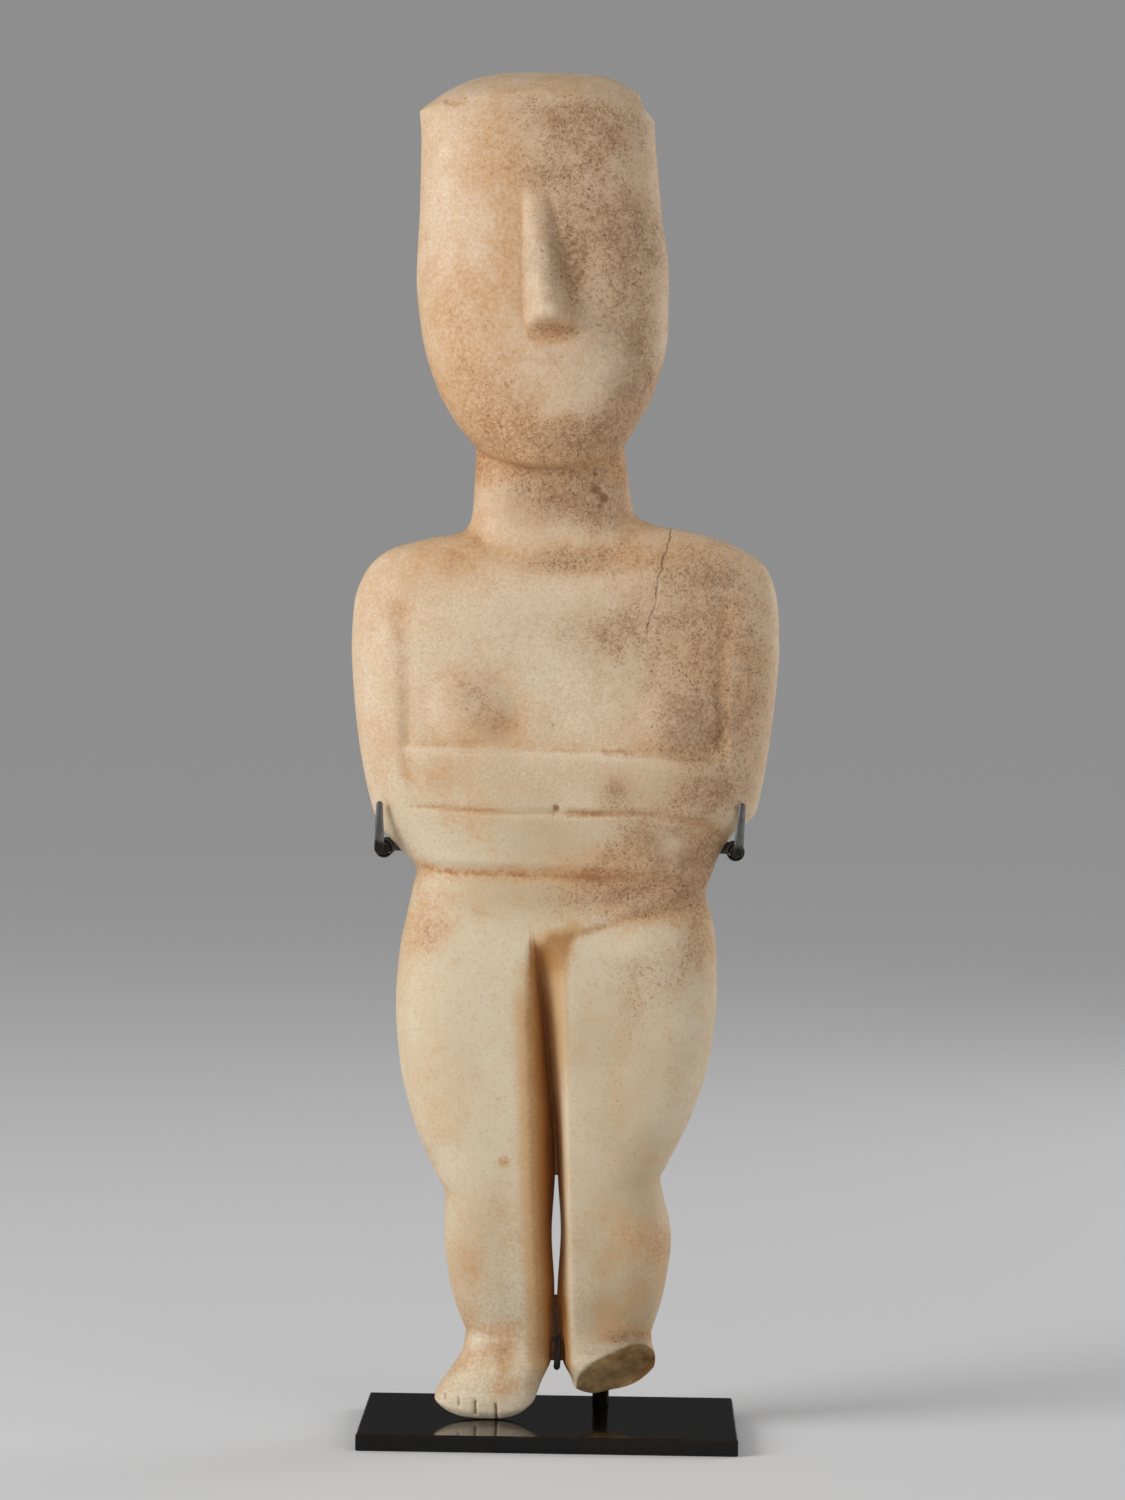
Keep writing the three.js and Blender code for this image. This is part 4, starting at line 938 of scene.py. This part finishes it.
    relief = s.bump(fine, 0.1, 0.5)
    relief = s.bump(s.noise(2.6, 3, 0.6), 0.2, 0.35, relief)
    relief = s.bump(s.times(dots, -1.0), 0.1, 0.5, relief)
    relief = s.bump(s.times(crack, -1.0), 0.25, 0.5, relief)
    roughness = s.step(s.plus(s.noise(9, 3), s.times(dark, 0.3)), 0.3, 0.8, 0.46, 0.68)
    return s.finish(
        Base_Color=s.colour, Roughness=roughness, Normal=relief, IOR=1.48,
        Subsurface_Weight=0.2, Subsurface_Radius=(0.0030, 0.0017, 0.0010), Subsurface_Scale=1.0,
    )


PLATE_WEAR = {"down": (0.75, 0.1), "in": (0.55, 0.3)}  # from the plate's top and from its sides


def plate_material():
    """Polished black plate with a faint brown line of wear along its top edges."""
    s = Shader("polished_black")
    high = Vector(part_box("base_plate")[1])
    wear = s.noise(9, 4, 0.7)
    to_top = s.step(s.height, *(high.z - down * MM for down in PLATE_WEAR["down"]))
    split = s.node("ShaderNodeSeparateXYZ", {"Vector": s.place}).outputs
    near_x, near_y = (
        s.step(s.math("ABSOLUTE", split[axis]), *(end - inward * MM for inward in PLATE_WEAR["in"]))
        for axis, end in (("X", high.x), ("Y", high.y))
    )
    edge = s.times(s.times(to_top, s.math("MAXIMUM", near_x, near_y)), s.step(wear, 0.3, 0.7, 0.35, 1.0))
    black = s.blend(srgb(9, 8, 8), srgb(15, 13, 12), s.step(s.noise(30, 4, 0.6), 0.35, 0.65))
    dust = s.step(s.noise(0.9, 2, 0.5), 0.72, 0.78, 0.0, 0.35)
    black = s.blend(black, srgb(92, 84, 74), dust)
    colour = s.blend(black, srgb(70, 52, 38), s.times(edge, 0.6))
    roughness = s.step(s.noise(16, 4, 0.65), 0.3, 0.75, 0.05, 0.13)
    roughness = s.plus(roughness, s.times(edge, 0.2))
    return s.finish(
        Base_Color=colour, Roughness=roughness, IOR=1.33, Normal=s.bump(s.noise(6, 3), 0.02, 0.3),
    )


BARE_ABOVE = (176.6, 178.2)  # the steel is painted below and bare above, with a soft edge


def steel_material():
    s = Shader("dark_satin_steel")
    rubbed = s.step(s.noise(9, 4, 0.6), 0.35, 0.7)
    streaks = s.noise(1.2, 3, 0.6, (1, 1, 0.12))
    colour = s.blend(srgb(104, 103, 103), srgb(132, 131, 129), rubbed)
    uneven_height = s.plus(s.height, s.step(rubbed, 0.0, 1.0, -0.5 * MM, 0.5 * MM))
    bare = s.step(uneven_height, *(z * MM for z in BARE_ABOVE))
    colour = s.blend(srgb(44, 40, 36), colour, bare)
    colour = s.blend(colour, srgb(88, 66, 48), s.step(s.noise(3, 4, 0.7), 0.62, 0.75, 0.0, 0.5))
    roughness = s.step(streaks, 0.3, 0.7, 0.3, 0.48)
    return s.finish(
        Base_Color=colour, Metallic=0.6, Roughness=roughness, Normal=s.bump(streaks, 0.03, 0.4),
    )


def tube_material():
    s = Shader("matt_black_tube")
    colour = s.blend(srgb(24, 22, 21), srgb(46, 38, 32), s.step(s.noise(2.4, 4, 0.6), 0.45, 0.7))
    return s.finish(
        Base_Color=colour, Roughness=s.step(s.noise(1.4, 3), 0.3, 0.7, 0.6, 0.85),
        Normal=s.bump(s.noise(0.5, 3, 0.6), 0.05, 0.5),
    )


# The stand's sizes and places are the CAD's.
GAP = 0.3
POST = {"x": 15.4, "y": 22.7, "radius": 2.5, "foot": 2, "height": 186}
ARM = {"radius": 1.9, "bend": 6}
SLEEVE = {"inner": ARM["radius"] + GAP, "outer": 2.7, "length": 20}
FINGER = {"foot": 3, "tip": 2, "thick": 1.7, "thin": 1.1}
HOOKS = {
    "left": {"x": -51.4, "z": 175.2, "front": -8.4, "rise": 14.2, "shift": -1.3, "lean": -0.1},
    "right": {"x": 53.5, "z": 175.6, "front": -8.6, "rise": 14.7, "shift": 0.7, "lean": 1.1},
}
SHARP_ANGLE = 45  # degrees between faces that keep a sharp edge
LOW_ARM = {"radius": 1, "bend": 3}
LOW_FINGER = {"foot": 1.9, "tip": 1.6, "thick": 1.2, "thin": 0.9}
LOW_HOOK = {"x": 2.2, "z": 19.8, "front": 0.2, "rise": 9.2, "shift": 0, "lean": 0.2}


def rings_mesh(rings, hollow=False):
    """A closed skin over rings of points, with flat ends. A hollow one joins its last ring to its first."""
    count, sides = len(rings), len(rings[0])
    points = [p for ring in rings for p in ring]
    faces = [] if hollow else [tuple(range(sides))[::-1]]
    for r in range(count if hollow else count - 1):
        here, after = r * sides, (r + 1) % count * sides
        for k in range(sides):
            turn = (k + 1) % sides
            faces.append((here + k, here + turn, after + turn, after + k))
    if not hollow:
        faces.append(tuple(range((count - 1) * sides, count * sides)))
    return points, faces


def round_bar(stations, sides):
    """A round bar along stations of (centre, direction, radius)."""
    rings = []
    for centre, direction, radius in stations:
        direction = Vector(direction).normalized()
        side = direction.cross(Vector((0, 0, 1)))
        side = side.normalized() if side.length > 0.01 else Vector((1, 0, 0))
        up = side.cross(direction)
        turns = np.linspace(0, 2 * np.pi, sides, endpoint=False)[:, None]
        circle = np.cos(turns) * np.array(side) + np.sin(turns) * np.array(up)
        rings.append([tuple(p) for p in np.array(centre) + radius * circle])
    return rings_mesh(rings)


def bent_bar(hook, size, sides):
    """Leaves the post sideways with a small braze fillet and bends forward, all at one height."""
    outward = np.sign(hook["x"] - POST["x"])
    radius, bend = size["radius"], size["bend"]
    start = POST["x"]
    fillet_end = start + outward * (POST["radius"] + 1.4)
    y, z = POST["y"], hook["z"]
    across = (outward, 0, 0)
    stations = [((start, y, z), across, radius * 1.55)]
    for w in (0.55, 0.75, 0.9, 1.0):
        x = mix(start, fillet_end, w)
        stations.append(((x, y, z), across, radius * mix(1.55, 1.0, smooth((w - 0.4) / 0.6))))
    for angle in np.linspace(0, np.pi / 2, 9):
        x = hook["x"] - outward * bend + outward * bend * np.sin(angle)
        centre = (x, POST["y"] - bend + bend * np.cos(angle), z)
        stations.append((centre, (outward * np.cos(angle), -np.sin(angle), 0), radius))
    end = hook["front"] - 0.6
    stations.append(((hook["x"], end + 0.3, z), (0, -1, 0), radius))
    stations.append(((hook["x"], end, z), (0, -1, 0), radius - 0.3))
    return round_bar(stations, sides)


def finger(hook, size):
    """A flat finger with rounded edges, wide and thick at its round foot, narrower at its tip."""
    foot, tip = size["foot"] / 2, size["tip"] / 2
    rise, lean = hook["rise"], hook["lean"]
    outline = []
    for a in np.linspace(np.pi, 2 * np.pi, 13):
        outline.append((foot * np.cos(a), foot * np.sin(a)))
    for a in np.linspace(0, np.pi, 13):
        outline.append((lean + tip * np.cos(a), rise - tip + tip * np.sin(a)))
    outline = np.array(outline)
    up = outline[:, 1]
    centre = np.stack([lean * np.clip(up / rise, 0, 1), np.clip(up, 0, rise - tip)], axis=1)
    edge = 0.3
    rings = []
    for depth, inset in ((0, edge), (0.12, 0.1), (0.3, 0), (0.7, 0), (0.88, 0.1), (1, edge)):
        away = outline - centre
        length = np.linalg.norm(away, axis=1, keepdims=True)
        shape = centre + away * (1 - inset / np.maximum(length, inset))
        taper = mix(1, size["thin"] / size["thick"], np.clip(shape[:, 1] / rise, 0, 1))
        y = hook["front"] - depth * size["thick"] * taper
        x = hook["x"] + hook["shift"] + shape[:, 0]
        rings.append([tuple(p) for p in np.stack([x, y, hook["z"] + shape[:, 1]], axis=1)])
    return rings_mesh(rings)


def post():
    x, y, radius = POST["x"], POST["y"], POST["radius"]
    up = (0, 0, 1)
    stations = [((x, y, POST["foot"]), up, radius - 0.3), ((x, y, POST["foot"] + 0.3), up, radius)]
    for angle in np.linspace(0, np.pi / 2, 8)[:-1]:
        stations.append(((x, y, POST["height"] + radius * np.sin(angle)), up, radius * np.cos(angle)))
    stations.append(((x, y, POST["height"] + radius - 0.01), up, 0.2))
    return round_bar(stations, 40)


def sleeve(hook):
    """A tube on an arm with rounded ends and a few faint creases."""
    inner, outer, length = SLEEVE["inner"], SLEEVE["outer"], SLEEVE["length"]
    start = hook["front"] + GAP
    middle = mix(inner, outer, 0.5)
    profile = [(inner, 0.2), (inner + 0.1, 0.05), (middle, 0), (outer - 0.1, 0.06), (outer, 0.3)]
    for place in np.linspace(1.5, length - 1.5, 24):
        profile.append((outer - 0.05 * bell((place % 5) - 2.5, 0.5), place))
    profile += [(outer, length - 0.3), (outer - 0.1, length - 0.06), (middle, length)]
    profile += [(inner + 0.1, length - 0.05), (inner, length - 0.2)]
    turns = np.linspace(2 * np.pi, 0, 40, endpoint=False)
    rings = [
        [(hook["x"] + radius * np.cos(a), start + place, hook["z"] + radius * np.sin(a)) for a in turns]
        for radius, place in profile
    ]
    return rings_mesh(rings, hollow=True)


def joined(shells, name, material):
    """One mesh from closed shells that overlap where they are brazed together."""
    pieces = []
    for k, (points, faces) in enumerate(shells):
        mesh = bpy.data.meshes.new(f"{name}_{k}")
        mesh.from_pydata((np.array(points) * MM).tolist(), [], faces)
        pieces.append(placed(f"{name}_{k}", mesh))
    whole = pieces[0]
    for other in pieces[1:]:
        union = whole.modifiers.new("union", "BOOLEAN")
        union.operation = "UNION"
        union.solver = "EXACT"
        union.object = other
    evaluated = whole.evaluated_get(bpy.context.evaluated_depsgraph_get())
    mesh = bpy.data.meshes.new_from_object(evaluated)
    for shell in pieces:
        bpy.data.objects.remove(shell)
    mesh.materials.clear()
    mesh.materials.append(material)
    mesh.shade_smooth()
    mesh.set_sharp_from_angle(angle=np.radians(SHARP_ANGLE))
    piece = placed(name, mesh)
    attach(piece, "root")
    return piece


def make_stand():
    steel = steel_material()
    shells = [post()]
    for hook in HOOKS.values():
        shells += [bent_bar(hook, ARM, 32), finger(hook, FINGER)]
    shells += [bent_bar(LOW_HOOK, LOW_ARM, 24), finger(LOW_HOOK, LOW_FINGER)]
    support = joined(shells, "steel_support", steel)
    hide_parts("support")
    tube = tube_material()
    for side, hook in HOOKS.items():
        piece = new_piece(f"tube_{side}", *sleeve(hook), tube)
        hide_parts(f"sleeve_{side}")
    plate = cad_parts["base_plate"]
    plate.data.materials.clear()
    plate.data.materials.append(plate_material())


# The photograph's camera: its place in millimetres, and its pan, tilt and roll in degrees.
CAMERA = {"place": (19.80, -1348.5, 233.65), "pan": -0.782, "tilt": -1.209, "roll": 0.780, "lens": 108}
SENSOR = 36  # millimetres along the frame's long side


def make_camera():
    pan, tilt, roll = (math.radians(CAMERA[name]) for name in ("pan", "tilt", "roll"))
    ahead = Vector((math.sin(pan) * math.cos(tilt), math.cos(pan) * math.cos(tilt), math.sin(tilt)))
    right = ahead.cross(Vector((0, 0, 1))).normalized()
    up = right.cross(ahead)
    rolled_right = math.cos(roll) * right + math.sin(roll) * up
    rolled_up = -math.sin(roll) * right + math.cos(roll) * up
    turn = Matrix((rolled_right, rolled_up, -ahead)).transposed().to_4x4()
    data = bpy.data.cameras.new("camera")
    data.lens = CAMERA["lens"]
    data.sensor_width = SENSOR
    data.sensor_fit = "AUTO"
    data.clip_end = 100
    camera = placed("camera", data)
    camera.matrix_world = Matrix.Translation(Vector(CAMERA["place"]) * MM) @ turn
    bpy.context.scene.camera = camera


# Lights, in metres and watts, aimed at the figure's chest.
LIGHTS = [
    ("key", (-1.45, -0.85, 0.85), 0.8, 20),
    ("fill", (1.2, -1.3, 0.35), 1.2, 6.5),
    ("edge", (1.1, 0.8, 0.6), 0.7, 4.5),
]
AIM = Vector((0, 0, 0.22))

FLOOR_COLOUR = srgb(228, 228, 229)
AMBIENT = 0.35  # the studio's even light
DARK_STUDIO = 0.05  # what polished surfaces reflect of it


def studio_world():
    """An even pale light. The distance looks like the far floor, and the plate mirrors a dark room."""
    world = bpy.data.worlds.new("studio")
    world.use_nodes = True
    nodes, links = world.node_tree.nodes, world.node_tree.links
    white = (1.0, 1.0, 1.0, 1.0)

    def background(node, colour, strength):
        node.inputs["Color"].default_value = colour
        node.inputs["Strength"].default_value = strength
        return node.outputs[0]

    surface = background(nodes["Background"], white, AMBIENT)
    seen = background(nodes.new("ShaderNodeBackground"), FLOOR_COLOUR, AMBIENT)
    mirrored = background(nodes.new("ShaderNodeBackground"), white, DARK_STUDIO)
    ray = nodes.new("ShaderNodeLightPath").outputs
    for kind, other in (("Is Camera Ray", seen), ("Is Glossy Ray", mirrored)):
        choice = nodes.new("ShaderNodeMixShader")
        for socket, value in zip(choice.inputs, (ray[kind], surface, other)):
            links.new(value, socket)
        surface = choice.outputs[0]
    links.new(surface, nodes["World Output"].inputs["Surface"])
    return world


def make_studio():
    for name, place, size, power in LIGHTS:
        data = bpy.data.lights.new(name, "AREA")
        data.size = size
        data.energy = power
        light = placed(name, data)
        light.location = place
        light.rotation_euler = (Vector(place) - AIM).to_track_quat("Z", "Y").to_euler()
    half = 12.0
    mesh = bpy.data.meshes.new("floor")
    corners = [(-half, -half, 0), (half, -half, 0), (half, half, 0), (-half, half, 0)]
    mesh.from_pydata(corners, [], [(0, 1, 2, 3)])
    floor = placed("floor", mesh)
    s = Shader("pale_floor")
    mesh.materials.append(s.finish(Base_Color=FLOOR_COLOUR, Roughness=1.0, Specular_IOR_Level=0.0))
    bpy.context.scene.world = studio_world()
    bpy.context.scene.view_settings.view_transform = "Standard"


make_camera()
make_studio()
make_figure(marble_material())
make_stand()
